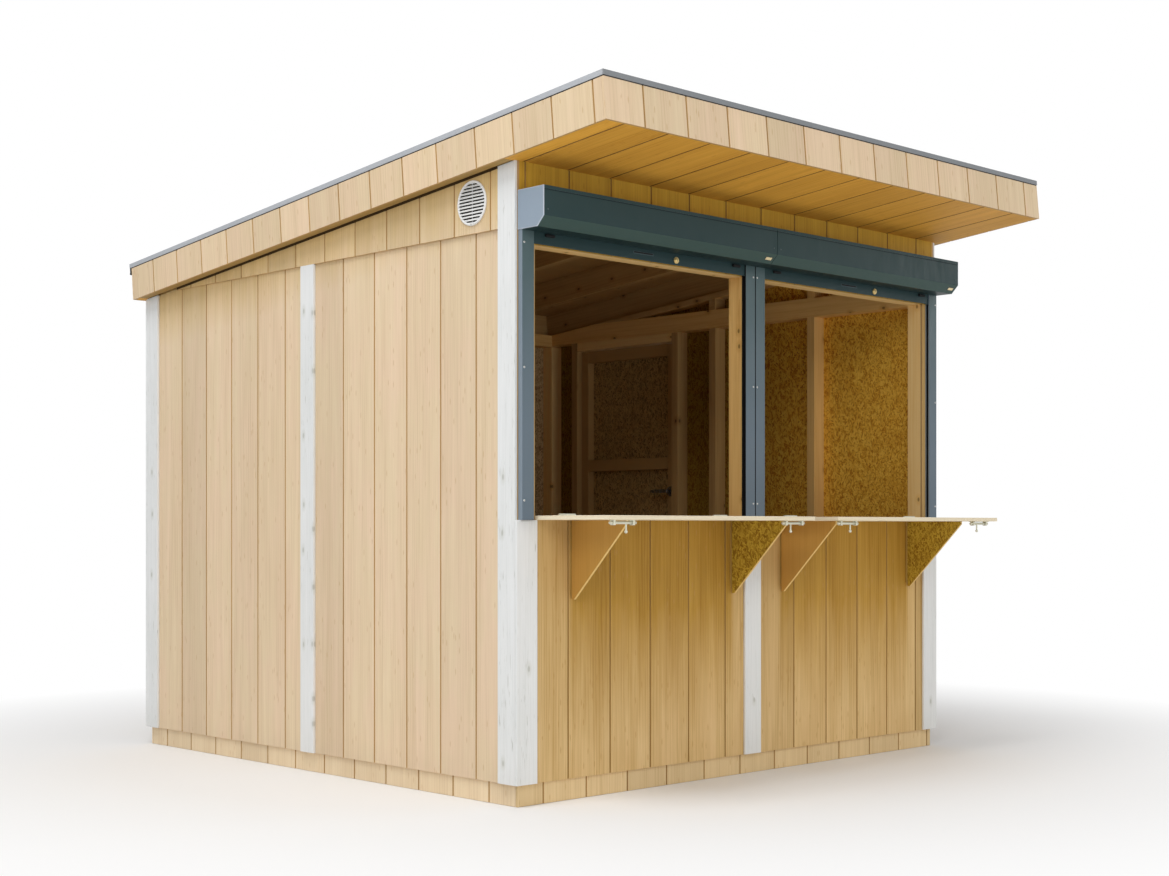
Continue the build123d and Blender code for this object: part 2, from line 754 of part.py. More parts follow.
def door():
    y = (door_y[0] + door_gap, door_y[1] - door_gap)
    z = (floor_top + door_gap, door_top - door_gap)
    frame_x = (right_x - door_frame_depth, right_x)
    clad = block((right_x, side_face), y, z)
    frame = block(frame_x, y, z)
    light_y = (y[0] + door_stile_width, y[1] - door_stile_width)
    light_x = (frame_x[0] - overcut_length, frame_x[1] + overcut_length)
    lower_z = (z[0] + door_rail_height, door_mid_rail_height)
    upper_z = (door_mid_rail_height + door_rail_height, z[1] - door_rail_height)
    for light_z in (lower_z, upper_z):
        frame -= block(light_x, light_y, light_z)
    pin_x, pin_y = door_pin()
    fixed_leaves = []
    moving_leaves = []
    for share in door_hinge_shares:
        place = (pin_x, pin_y, z[0] + share * (z[1] - z[0]))
        seat = Plane(origin=place, x_dir=(0, 1, 0), z_dir=(0, 0, -1)).location
        fixed, moving = hinge(door_hinge_length, door_hinge_knuckle_radius, door_hinge_leaf_width)
        fixed_leaves.append(seat * fixed)
        moving_leaves.append(seat * moving)
    nodes = {
        "door_cladding": [clad],
        "door_frame": [frame],
        "door_hinge_leaves": moving_leaves,
        "door_handles": [lever(side_face, 1), lever(frame_x[0], -1)],
    }
    return nodes, fixed_leaves


def assembly():
    nodes = {}
    for group in (floor, wall_frame, cladding, white_trim, vent, roof, shutters):
        nodes.update(group())
    fixed_all = []
    for group in (counters, brackets, door):
        moving_nodes, fixed_leaves = group()
        nodes.update(moving_nodes)
        fixed_all += fixed_leaves
    nodes["hinge_plates"] = fixed_all
    return nodes


os.makedirs("parts", exist_ok=True)
for name, pieces in assembly().items():
    solids = [solid for piece in pieces for solid in piece.solids()]
    shape = solids[0] if len(solids) == 1 else Compound(solids)
    export_step(shape, f"parts/{name}.step")
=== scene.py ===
from math import cos, pi, radians, sin, sqrt, tan
from random import Random

import bmesh
import bpy
from mathutils import Matrix, Vector


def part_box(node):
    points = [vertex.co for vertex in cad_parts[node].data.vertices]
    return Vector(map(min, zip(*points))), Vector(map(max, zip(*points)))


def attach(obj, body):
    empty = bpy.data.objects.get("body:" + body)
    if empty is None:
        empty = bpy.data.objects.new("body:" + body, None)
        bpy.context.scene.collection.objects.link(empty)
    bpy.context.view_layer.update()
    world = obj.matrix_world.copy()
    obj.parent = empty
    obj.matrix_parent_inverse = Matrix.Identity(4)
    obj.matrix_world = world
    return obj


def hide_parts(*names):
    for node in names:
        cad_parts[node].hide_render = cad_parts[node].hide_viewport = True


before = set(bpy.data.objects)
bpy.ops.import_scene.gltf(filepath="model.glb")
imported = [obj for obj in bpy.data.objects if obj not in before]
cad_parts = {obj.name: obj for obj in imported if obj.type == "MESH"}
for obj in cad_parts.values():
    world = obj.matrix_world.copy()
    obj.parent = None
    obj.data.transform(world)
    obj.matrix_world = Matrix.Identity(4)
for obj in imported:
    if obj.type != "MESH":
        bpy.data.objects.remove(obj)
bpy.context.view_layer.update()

# Sizes in metres, as in the part's source
ROOF_PITCH = radians(5.45)
SIDING = 0.0095
PANEL_GAP = 0.001
FLOOR_TOP = 0.076
SILL = 0.99
HATCH_OUTER = 1.1185
HATCH_INNER = 0.045
BOX_CHAMFER = 0.034
BOX_RISE = 0.042
FRONT_OVERHANG = 0.52
REAR_OVERHANG = 0.046
FASCIA_HEIGHT = 0.1415
KERB_WIDTH = 0.025
MEMBRANE = 0.002
ROOF_DECK = 0.012
DOOR_STILE = 0.05
DOOR_RAIL = 0.06
DOOR_MID_RAIL = 1.26
VENT_SETBACK = 0.222
VENT_HOLE = 0.138
RAIL_WIDTH = 0.053
RAIL_MID_GAP = 0.005
EDGE_TRIM = 0.002
EDGE_TRIM_TAIL = 0.015
KNOB_OFFSET = 0.015

# Sizes that only the visual model has
VENT_GRILLE = 0.142
ARRIS = 0.0015
SHADE_STRIP_WIDTH = 0.006
FLOOR_PLANKS = 20
ROOF_PLANKS = 26

# Machined grooves of the siding
GROOVE_PITCH = 0.2032
GROOVE_HALF = 0.0036
GROOVE_FLOOR_HALF = 0.0016
GROOVE_DEPTH = 0.0040
EDGE_MARGIN = 0.008

# Where one groove of each face lies: from the hut's front on its sides, and from its left elsewhere
LEFT_PHASE = 0.214
RIGHT_PHASE = 0.17
BACK_PHASE = 0.15
FRONT_PHASE = 0.225
BAND_PHASE = 0.23
GABLE_PHASE = 0.123
SKIRT_FRONT_PHASE = 0.117
SKIRT_BACK_PHASE = 0.09
SKIRT_LEFT_PHASE = 0.154
SKIRT_RIGHT_PHASE = 0.13
FASCIA_FRONT_PHASE = 0.108
FASCIA_BACK_PHASE = 0.06
FASCIA_SIDE_PHASE = 0.560
SOFFIT_PHASE = 0.02

# Corners that the pieces are set out from
skirt_low, skirt_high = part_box("skirt_boards")
left_low, left_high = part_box("siding_left")
right_low, right_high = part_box("siding_right")
front_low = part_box("siding_front")[0]
fascia_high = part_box("fascia_boards")[1]
box_low, box_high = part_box("shutter_boxes")
rail_low, rail_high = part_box("guide_rails")
bar_low, bar_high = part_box("shutter_bottom_bars")
LEFT_X, RIGHT_X = skirt_low.x, skirt_high.x
FRONT_Y, BACK_Y = skirt_low.y, skirt_high.y
FRONT_FACE = front_low.y
SIDE_FACE = right_high.x
ROOF_FRONT = FRONT_Y - FRONT_OVERHANG
ROOF_LENGTH = (FRONT_OVERHANG + BACK_Y - FRONT_Y + REAR_OVERHANG) / cos(ROOF_PITCH)
ROOF_HALF = fascia_high.x
ROOF_INNER = ROOF_HALF - SIDING
DAYLIGHT_END = FRONT_Y + 1.0


def roof_level(y):
    """Height of the roof's underside at depth y."""
    return left_high.z - (y - left_low.y) * tan(ROOF_PITCH)


def facing(origin, across, up, out):
    """A frame from its origin and the directions that across, up and out point in."""
    columns = [Vector(across).to_4d(), Vector(up).to_4d(), Vector(out).to_4d(), Vector(origin).to_4d()]
    for column in columns[:3]:
        column[3] = 0
    return Matrix(columns).transposed()


X, Y, Z = (1, 0, 0), (0, 1, 0), (0, 0, 1)


def front_frame(x, y, z):
    return facing((x, y, z), X, Z, (0, -1, 0))


def side_frame(side, x, y=0, z=0):
    """A frame that looks left for a side of -1 and right for 1."""
    return facing((x, y, z), Y, Z, (side, 0, 0))


IDENTITY = Matrix.Identity(4)
roof_foot = Matrix.Translation((0, ROOF_FRONT, roof_level(ROOF_FRONT)))
roof_place = roof_foot @ Matrix.Rotation(-ROOF_PITCH, 4, "X")


def feed(tree, node, inputs):
    """Gives each input a value or another node's socket."""
    for key, value in inputs.items():
        if isinstance(value, bpy.types.NodeSocket):
            tree.links.new(value, node.inputs[key])
        else:
            node.inputs[key].default_value = value


def add(tree, kind, inputs=None, **settings):
    """A shader node with its settings and inputs."""
    node = tree.nodes.new(f"ShaderNode{kind}")
    for key, value in settings.items():
        setattr(node, key, value)
    feed(tree, node, inputs or {})
    return node


def new_material(name):
    material = bpy.data.materials.new(name)
    material.use_nodes = True
    tree = material.node_tree
    return material, tree, tree.nodes["Principled BSDF"]


def stretch(tree, vector, scale):
    return add(tree, "Mapping", {"Vector": vector, "Scale": scale}).outputs[0]


def noise(tree, vector, scale=1.0, detail=4.0, rough=0.6, warp=0.0):
    inputs = {"Vector": vector, "Scale": scale, "Detail": detail, "Roughness": rough, "Distortion": warp}
    return add(tree, "TexNoise", inputs).outputs["Fac"]


def fade(tree, value, low, high, to_low=0.0, to_high=1.0):
    """Maps a range of a value onto another, clamped."""
    inputs = {"Value": value, "From Min": low, "From Max": high, "To Min": to_low, "To Max": to_high}
    return add(tree, "MapRange", inputs).outputs[0]


def compute(tree, operation, first, second):
    return add(tree, "Math", {0: first, 1: second}, operation=operation).outputs[0]


def times(tree, first, second):
    return compute(tree, "MULTIPLY", first, second)


def plus(tree, first, second):
    return compute(tree, "ADD", first, second)


def mix(tree, share, first, second):
    """Blends two colours; the node's colour sockets are its inputs 6 and 7 and its output 2."""
    pair = [value if isinstance(value, bpy.types.NodeSocket) else (*value, 1.0) for value in (first, second)]
    return add(tree, "Mix", {0: share, 6: pair[0], 7: pair[1]}, data_type="RGBA").outputs[2]


def bump(tree, shader, height, strength, distance=0.001):
    inputs = {"Height": height, "Strength": strength, "Distance": distance}
    tree.links.new(add(tree, "Bump", inputs).outputs[0], shader.inputs["Normal"])


def attribute(tree, name, output):
    return add(tree, "Attribute", attribute_name=name).outputs[output]


def place_of(tree):
    return add(tree, "TexCoord").outputs["Object"]


def coordinate(tree, axis):
    return add(tree, "SeparateXYZ", {0: place_of(tree)}).outputs[axis]


def brightened(tree, colour, value):
    return add(tree, "HueSaturation", {"Color": colour, "Value": value}).outputs[0]


def toned(tree, colour, low, high):
    """Brightens or darkens a colour by the tone of its board."""
    return brightened(tree, colour, fade(tree, attribute(tree, "tone", "Fac"), -1.0, 1.0, low, high))


def spots(tree, grain, scale, size, chance, strength=1.0):
    """Scattered round spots, drawn out along the grain; chance is the share of cells that have one."""
    axes = add(tree, "SeparateXYZ", {0: grain})
    across = plus(tree, axes.outputs[0], axes.outputs[1])
    flat = add(tree, "CombineXYZ", {0: across, 1: axes.outputs[2]}).outputs[0]
    cells = add(tree, "TexVoronoi", {"Vector": stretch(tree, flat, scale), "Scale": 1.0},
                voronoi_dimensions="2D")
    lucky = add(tree, "SeparateColor", {0: cells.outputs["Color"]}).outputs[0]
    edge = fade(tree, cells.outputs["Distance"], size * 0.5, size, strength, 0.0)
    return times(tree, edge, compute(tree, "LESS_THAN", lucky, chance))


def splash(tree, colour, soil, top):
    """Dust that fades out a little way above the ground."""
    patchy = noise(tree, place_of(tree), scale=9.0, detail=5.0, rough=0.65)
    share = times(tree, fade(tree, coordinate(tree, "Z"), 0.0, top, 0.3, 0.0), patchy)
    return mix(tree, share, colour, soil)


def between(tree, value, spans, soft):
    """1 where a value lies in one of some spans, else 0, with soft limits."""
    inside = 0.0
    for low, high in spans:
        within = times(tree, fade(tree, value, low - soft, low + soft),
                       fade(tree, value, high - soft, high + soft, 1.0, 0.0))
        inside = plus(tree, within, inside)
    return inside


def painted_shade_share(tree, shade_reach):
    """Share of painted shade at a spot, which grows along a direction; its limit is a little ragged.

    Where spans in X are given, there is less painted shade outside them.
    """
    direction, start, end, spans = shade_reach
    ragged_share, soft, open_share = 0.12, 0.012, 0.3
    reach = add(tree, "VectorMath", {0: place_of(tree), 1: direction}, operation="DOT_PRODUCT")
    ragged = noise(tree, stretch(tree, place_of(tree), (14.0, 14.0, 2.0)))
    stray = ragged_share * (end - start)
    edge = fade(tree, ragged, 0.3, 0.7, -stray, stray)
    share = fade(tree, plus(tree, reach.outputs["Value"], edge), start, end)
    if spans:
        inside = between(tree, coordinate(tree, "X"), spans, soft)
        share = times(tree, share, fade(tree, inside, 0.0, 1.0, open_share, 1.0))
    return share


def wood(name, pale, deep, contrast=1.0, fine=190.0, knots=0.0, flecks=0.0, tint=None, rough=0.6,
         soil=None, shade_reach=None, shade_colours=None):
    """Timber whose grain follows the board's own length, with a tone for each board.

    Where a shade reach is given, it blends towards the given shade colours, a painted shade.
    """
    material, tree, shader = new_material(name)
    grain = attribute(tree, "grain", "Vector")
    streaks = noise(tree, stretch(tree, grain, (fine, fine, 3.2)), detail=5.0, rough=0.62)
    pores = noise(tree, stretch(tree, grain, (fine * 4, fine * 4, 26.0)), detail=2.0, rough=0.5)
    bands = noise(tree, stretch(tree, grain, (17.0, 17.0, 0.75)), detail=3.0, rough=0.55, warp=0.9)
    rings = add(tree, "TexWave", {
        "Vector": stretch(tree, grain, (9.0, 9.0, 0.62)), "Scale": 2.4, "Distortion": 9.0, "Detail": 2.0,
        "Detail Scale": 0.9,
    }, wave_profile="SAW").outputs["Fac"]
    figure = times(tree, fade(tree, rings, 0.55, 1.0), fade(tree, bands, 0.38, 0.62))
    share = plus(tree, fade(tree, streaks, 0.3, 0.75, 0.0, 0.5 * contrast),
                 times(tree, figure, 0.4 * contrast))
    share = plus(tree, share, fade(tree, bands, 0.3, 0.7, -0.1 * contrast, 0.22 * contrast))
    if tint:
        cloud = noise(tree, stretch(tree, grain, (8.0, 8.0, 2.6)), detail=4.0, rough=0.6)
        pale = mix(tree, fade(tree, cloud, 0.4, 0.62), pale, tint)
    colour = mix(tree, share, pale, deep)
    # Painted shade: blends towards the shaded colours along the reach
    if shade_reach:
        colour = mix(tree, painted_shade_share(tree, shade_reach), colour, mix(tree, share, *shade_colours))
    height = plus(tree, times(tree, streaks, 0.7), times(tree, pores, 0.3))
    if flecks:
        dash = spots(tree, grain, (95.0, 22.0, 1.0), 0.34, flecks, 0.5)
        colour = mix(tree, dash, colour, [value * shade for value, shade in zip(deep, (0.9, 0.8, 0.65))])
    if knots:
        knot = spots(tree, grain, (12.0, 7.5, 1.0), 0.085, knots)
        halo = spots(tree, grain, (12.0, 7.5, 1.0), 0.24, knots, 0.6)
        colour = mix(tree, halo, colour, deep)
        colour = mix(tree, knot, colour, [value * 0.45 for value in deep])
    colour = toned(tree, colour, 0.93, 1.06)
    if soil:
        colour = splash(tree, colour, soil, 0.16)
    gloss = fade(tree, streaks, 0.2, 0.8, rough - 0.08, rough + 0.1)
    feed(tree, shader, {"Base Color": colour, "Roughness": gloss, "Specular IOR Level": 0.25})
    bump(tree, shader, height, 0.3, 0.0012)
    return material


# Layers of flakes in strand board: the turn of each, then its flakes per metre along and across
FLAKES = ((0.1, 48.0, 175.0), (-0.4, 54.0, 190.0), (0.7, 60.0, 180.0), (-1.1, 72.0, 215.0))


def strand_board(name, pale, mid, deep, inner=1.0):
    """Pressed strand board: flakes that lie across each other, most of them near upright.

    Away from the hatches it is darkened to the inner share, a painted shade.
    """
    material, tree, shader = new_material(name)
    grain = attribute(tree, "grain", "Vector")
    colour = None
    top = None
    for turn, long, wide in FLAKES:
        flat = add(tree, "VectorRotate", {"Vector": grain, "Angle": turn},
                   rotation_type="Y_AXIS").outputs[0]
        cells = add(tree, "TexVoronoi", {
            "Vector": stretch(tree, flat, (wide, 4.0, long)), "Scale": 1.0,
        })
        parts = add(tree, "SeparateColor", {0: cells.outputs["Color"]})
        fibre = noise(tree, stretch(tree, flat, (420.0, 40.0, 24.0)), detail=2.0)
        shade = plus(tree, times(tree, parts.outputs[0], 0.8), times(tree, fibre, 0.25))
        flake = mix(tree, fade(tree, shade, 0.2, 0.7), pale, mid)
        flake = mix(tree, fade(tree, shade, 0.55, 0.95), flake, deep)
        order = parts.outputs[1]
        if colour is None:
            colour, top = flake, order
        else:
            colour = mix(tree, compute(tree, "GREATER_THAN", order, top), colour, flake)
            top = compute(tree, "MAXIMUM", order, top)
    cloud = noise(tree, stretch(tree, grain, (7.0, 7.0, 5.0)), detail=3.0)
    colour = mix(tree, fade(tree, cloud, 0.4, 0.75, 0.0, 0.15), colour, deep)
    # Painted shade: darker deeper inside, away from the hatches
    if inner != 1.0:
        soft = 0.25
        value = fade(tree, coordinate(tree, "Y"), DAYLIGHT_END - soft, DAYLIGHT_END + soft, 1.0, inner)
        colour = brightened(tree, colour, value)
    feed(tree, shader, {"Base Color": colour, "Roughness": 0.62, "Specular IOR Level": 0.2})
    bump(tree, shader, top, 0.3, 0.0012)
    return material


def paint(name, colour, worn, rough, metal=0.0, peel=900.0, wear=0.35, shine=0.5, shaded_top=None):
    """A coat on metal or plastic, with a fine orange-peel skin and rubbed patches.

    It may have another tone high up, used as painted shade.
    """
    material, tree, shader = new_material(name)
    place = place_of(tree)
    skin = noise(tree, place, scale=peel, detail=2.0, rough=0.5)
    cloud = noise(tree, place, scale=3.5)
    scuff = noise(tree, stretch(tree, place, (40.0, 40.0, 7.0)), detail=6.0, rough=0.7)
    share = plus(tree, fade(tree, cloud, 0.35, 0.7, 0.0, wear * 0.6), fade(tree, scuff, 0.62, 0.8, 0.0, wear))
    if shaded_top:
        # Painted shade: blends to the upper tone between these heights
        start, end = 1.3, 1.95
        colour = mix(tree, fade(tree, coordinate(tree, "Z"), start, end), colour, shaded_top)
    gloss = fade(tree, scuff, 0.3, 0.75, rough - 0.04, rough + 0.12)
    feed(tree, shader, {"Base Color": mix(tree, share, colour, worn), "Roughness": gloss, "Metallic": metal,
                        "Specular IOR Level": shine})
    bump(tree, shader, skin, 0.08, 0.0004)
    return material


def white_paint(name):
    """White paint on boards, with the grain and a few knots showing through."""
    material, tree, shader = new_material(name)
    grain = attribute(tree, "grain", "Vector")
    streaks = noise(tree, stretch(tree, grain, (160.0, 160.0, 3.0)), detail=5.0)
    dashes = noise(tree, stretch(tree, grain, (190.0, 190.0, 15.0)), detail=3.0, rough=0.55)
    cloud = noise(tree, stretch(tree, grain, (9.0, 9.0, 2.2)))
    knot = spots(tree, grain, (16.0, 8.0, 1.0), 0.11, 0.16, 0.6)
    halo = spots(tree, grain, (16.0, 8.0, 1.0), 0.27, 0.16, 0.4)
    colour = mix(tree, fade(tree, cloud, 0.3, 0.75, 0.0, 0.7), (0.83, 0.84, 0.84), (0.72, 0.74, 0.73))
    colour = mix(tree, fade(tree, streaks, 0.48, 0.78, 0.0, 0.4), colour, (0.60, 0.62, 0.60))
    mark = times(tree, fade(tree, dashes, 0.62, 0.7, 0.0, 0.6), fade(tree, cloud, 0.42, 0.58))
    colour = mix(tree, mark, colour, (0.36, 0.36, 0.31))
    colour = mix(tree, halo, colour, (0.62, 0.63, 0.58))
    colour = mix(tree, knot, colour, (0.44, 0.44, 0.39))
    colour = toned(tree, colour, 0.97, 1.02)
    colour = splash(tree, colour, (0.45, 0.41, 0.33), 0.2)
    gloss = fade(tree, streaks, 0.2, 0.8, 0.48, 0.62)
    feed(tree, shader, {"Base Color": colour, "Roughness": gloss, "Specular IOR Level": 0.2})
    bump(tree, shader, plus(tree, streaks, knot), 0.25, 0.001)
    return material


def ply_edge(name):
    """Sawn edge of plywood: thin plies in turn along and across the grain."""
    material, tree, shader = new_material(name)
    grain = attribute(tree, "grain", "Vector")
    plies = add(tree, "TexWave", {
        "Vector": grain, "Scale": 62.0, "Distortion": 0.6, "Detail": 2.0,
    }, bands_direction="Y").outputs["Fac"]
    fibre = noise(tree, stretch(tree, grain, (90.0, 700.0, 90.0)))
    colour = mix(tree, fade(tree, plies, 0.35, 0.75), (0.88, 0.80, 0.62), (0.74, 0.62, 0.42))
    colour = mix(tree, fade(tree, fibre, 0.45, 0.8, 0.0, 0.4), colour, (0.58, 0.44, 0.26))
    feed(tree, shader, {"Base Color": colour, "Roughness": 0.7})
    bump(tree, shader, fibre, 0.25, 0.0008)
    return material


EARTH = (0.33, 0.27, 0.19)
ROOF_LINE = roof_level(0)
# Reaches of painted shade: the direction in which each grows, its start and end along that, and its spans in X
# Painted shade under the roof's overhang: the side siding turns deeper and more golden towards the roof
UNDER_ROOF = ((0, tan(ROOF_PITCH), 1), ROOF_LINE - 0.24, ROOF_LINE, None)
# Painted shade under the counters: the front siding turns deeper and more golden there, most between the
# brackets
BRACKET_SPANS = [(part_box(f"bracket_{first}")[0].x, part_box(f"bracket_{first + 1}")[1].x) for first in (1, 3)]
UNDER_COUNTER = ((0, 0, 1), 0.20, 0.68, BRACKET_SPANS)
siding = wood("siding_tan", (0.765, 0.615, 0.415), (0.61, 0.45, 0.275), flecks=0.05,
              tint=(0.785, 0.60, 0.425), soil=EARTH, shade_reach=UNDER_ROOF,
              shade_colours=((0.67, 0.475, 0.205), (0.51, 0.335, 0.125)))
# Painted shade: the front siding is a darker, warmer copy of the side siding
siding_front_shaded = wood("siding_tan_front_shaded", (0.77, 0.555, 0.275), (0.53, 0.335, 0.115), contrast=1.25, flecks=0.07,
                   tint=(0.72, 0.50, 0.24), shade_reach=UNDER_COUNTER,
                   shade_colours=((0.50, 0.288, 0.046), (0.335, 0.168, 0.016)))
# Painted shade: the band above the shutter boxes, under the soffit, is a deep golden copy of the siding
siding_band_shaded = wood("siding_band_shaded", (0.64, 0.39, 0.038), (0.445, 0.24, 0.016), contrast=1.2, flecks=0.07)
fascia_tan = wood("fascia_tan", (0.77, 0.615, 0.41), (0.61, 0.45, 0.27), flecks=0.05,
                  tint=(0.79, 0.60, 0.42))
skirt_tan = wood("skirt_tan", (0.82, 0.66, 0.445), (0.66, 0.49, 0.30), flecks=0.05)
# Painted shade: the front skirt is a darker, warmer copy of the skirt boards
skirt_front_shaded = wood("skirt_tan_front_shaded", (0.76, 0.575, 0.32), (0.60, 0.42, 0.205), flecks=0.06)
# Painted shade: the grooves are a darker brown than the boards' faces, darkest on the front and under the
# soffit
groove_shade = wood("siding_groove", (0.50, 0.31, 0.12), (0.35, 0.20, 0.07))
groove_shade_front = wood("siding_groove_front", (0.42, 0.25, 0.075), (0.29, 0.16, 0.04))
cut_edge = wood("siding_cut_edge", (0.56, 0.36, 0.16), (0.36, 0.21, 0.08), fine=260.0)
# Painted shade: the soffit boards and their side strips are deep golden copies of the siding, as in the shade
# under the roof
soffit_shaded = wood("soffit_shaded", (0.78, 0.41, 0.06), (0.57, 0.265, 0.03), contrast=1.2, flecks=0.07)
soffit_side_shaded = wood("soffit_side_shaded", (0.44, 0.285, 0.095), (0.31, 0.185, 0.055))
soffit_groove_shade = wood("soffit_groove_shade", (0.22, 0.115, 0.03), (0.14, 0.065, 0.018))
timber = wood("frame_softwood", (0.93, 0.62, 0.24), (0.70, 0.40, 0.115), contrast=1.1, fine=120.0, knots=0.3)
# Painted shade: a darker copy of the frame timber, for timber deep inside the hut and under the roof
timber_shaded = wood("frame_softwood_shaded", (0.60, 0.395, 0.16), (0.43, 0.25, 0.085), contrast=1.1, fine=120.0,
                   knots=0.3)
# Painted light: a brighter, more orange copy of the frame timber for the posts and headers by the hatches
timber_lit = wood("hatch_softwood_lit", (0.98, 0.72, 0.34), (0.88, 0.56, 0.20), fine=120.0, knots=0.22)
# Painted shade: the ceiling boards are a darker copy of the frame timber
ceiling_wood_shaded = wood("ceiling_boards", (0.56, 0.345, 0.125), (0.37, 0.205, 0.065), fine=120.0, knots=0.3)
treated = wood("floor_treated", (0.42, 0.36, 0.24), (0.27, 0.22, 0.13), fine=130.0, knots=0.12)
deck_wood = wood("floor_planed", (0.76, 0.56, 0.33), (0.56, 0.38, 0.20), fine=120.0, knots=0.15)
osb = strand_board("strand_board", (1.0, 0.655, 0.10), (0.77, 0.39, 0.036), (0.46, 0.165, 0.010), inner=0.36)
# Painted shade: darker copies of the strand board for the brackets under the counters, the door and the back
# wall
osb_bracket_shaded = strand_board("strand_board_dark", (0.62, 0.43, 0.055), (0.44, 0.27, 0.026), (0.24, 0.12, 0.008))
osb_door_shaded = strand_board("strand_board_door", (0.60, 0.42, 0.17), (0.43, 0.28, 0.105), (0.21, 0.125, 0.045))
osb_back_shaded = strand_board("strand_board_back", (0.66, 0.50, 0.27), (0.48, 0.34, 0.165), (0.25, 0.16, 0.075))
# Painted shade: the brackets' smooth faces are a deep golden copy of the siding, as under the counters
bracket_face = wood("bracket_face", (0.575, 0.315, 0.072), (0.44, 0.225, 0.042), contrast=0.6)
bracket_edge = wood("bracket_edge", (0.86, 0.62, 0.24), (0.70, 0.46, 0.15), fine=260.0)
ply_face = wood("counter_face", (0.86, 0.76, 0.55), (0.74, 0.60, 0.38), contrast=0.8, rough=0.5)
ply_sides = ply_edge("counter_edge")
white = white_paint("trim_white")
vent_white = paint("vent_plastic", (0.80, 0.80, 0.79), (0.68, 0.67, 0.62), 0.45, wear=0.4, shine=0.3)
rubber = paint("roof_rubber", (0.020, 0.020, 0.022), (0.060, 0.058, 0.054), 0.75, peel=420.0, wear=0.6,
               shine=0.2)
trim_metal = paint("edge_metal", (0.42, 0.44, 0.47), (0.54, 0.56, 0.58), 0.5, wear=0.5, shine=0.3)
# Painted shade: a darker copy of the edge metal for its forward faces
trim_metal_shaded = paint("edge_metal_front", (0.225, 0.24, 0.255), (0.31, 0.32, 0.33), 0.5, wear=0.4, shine=0.2)
teal = paint("shutter_teal", (0.021, 0.047, 0.050), (0.040, 0.070, 0.076), 0.42, shine=0.14)
# Painted light: a paler copy of the shutter paint for the boxes' chamfers
teal_chamfer_lit = paint("shutter_teal_chamfer_lit", (0.046, 0.084, 0.076), (0.062, 0.10, 0.092), 0.42, shine=0.14)
# Painted shadow: a near black copy of the shutter paint for the line under the lips
teal_shadow_line = paint("shutter_teal_shadow_line", (0.008, 0.018, 0.021), (0.014, 0.026, 0.030), 0.5, shine=0.1)
teal_edge = paint("shutter_teal_edge", (0.055, 0.090, 0.098), (0.11, 0.14, 0.15), 0.4, wear=0.4, shine=0.3)
# Painted light: the end caps are a paler slate copy of the shutter paint, and their rims carry a painted
# highlight
cap_slate_lit = paint("cap_slate_lit", (0.27, 0.335, 0.41), (0.33, 0.39, 0.46), 0.45, shine=0.3)
cap_edge_highlight = paint("cap_slate_edge_highlight", (0.46, 0.52, 0.60), (0.52, 0.57, 0.63), 0.4, wear=0.4)
# Painted shade: the rails turn darker high up, under the boxes
slate = paint("rail_slate", (0.125, 0.168, 0.21), (0.16, 0.20, 0.235), 0.42, shine=0.25,
              shaded_top=(0.062, 0.105, 0.11))
# Painted light: a paler copy of the rail paint for the rails' sides
slate_side_lit = paint("rail_slate_side_lit", (0.20, 0.25, 0.30), (0.27, 0.31, 0.35), 0.4, wear=0.5, shine=0.3)
# Black rubber, also used as a painted shade behind the vent's slats
black = paint("black_rubber_and_shade", (0.012, 0.012, 0.013), (0.035, 0.035, 0.035), 0.7, shine=0.2)
# Painted shade in the gaps under the roof's side edges
gap_shade_brown = paint("gap_shade_brown", (0.060, 0.034, 0.012), (0.095, 0.058, 0.024), 0.8, shine=0.1)
brass = paint("lock_brass", (0.74, 0.56, 0.24), (0.50, 0.36, 0.15), 0.35, metal=0.6)
plate_gold = paint("plate_gold", (0.82, 0.70, 0.42), (0.62, 0.47, 0.22), 0.4, metal=0.3, wear=0.5)
zinc = paint("zinc_plate", (0.72, 0.72, 0.60), (0.52, 0.51, 0.40), 0.42, metal=0.35, wear=0.5)
# Painted shade: hinges under the counters get the deep golden brown of the shaded siding round them
hinge_shade_brown = paint("hinge_stained", (0.42, 0.255, 0.06), (0.34, 0.20, 0.05), 0.55, shine=0.2)
steel = paint("satin_steel", (0.62, 0.62, 0.61), (0.44, 0.43, 0.41), 0.32, metal=0.9)
lever_steel = paint("lever_steel", (0.22, 0.22, 0.22), (0.34, 0.34, 0.33), 0.24, metal=0.9)
# Painted shade: the near black of screw recesses, keyholes and the rim round the bare plates
recess = paint("screw_recess_shade", (0.04, 0.04, 0.04), (0.08, 0.07, 0.06), 0.6)


def grooves_from(phase, first=-20, last=20):
    """Places of grooves at the usual pitch on both sides of one of them."""
    return [phase + GROOVE_PITCH * number for number in range(first, last)]


def new_object(name, data):
    made = bpy.data.objects.new(name, data)
    bpy.context.scene.collection.objects.link(made)
    return made


def bevelled(bm, edges, ease, skin):
    """Rounds edges off, and returns the new faces; a skin of -1 takes after the neighbours."""
    return bmesh.ops.bevel(bm, geom=edges, offset=ease, segments=2, profile=0.5, affect="EDGES",
                           material=skin, clamp_overlap=True)["faces"]


def whole(faces, added):
    """The faces that a bevel has left, with those that it has added."""
    return list(dict.fromkeys([face for face in faces if face.is_valid] + added))


def limits(points):
    """Lowest and highest value of some points on each axis."""
    axes = list(zip(*points))
    return [min(values) for values in axes], [max(values) for values in axes]


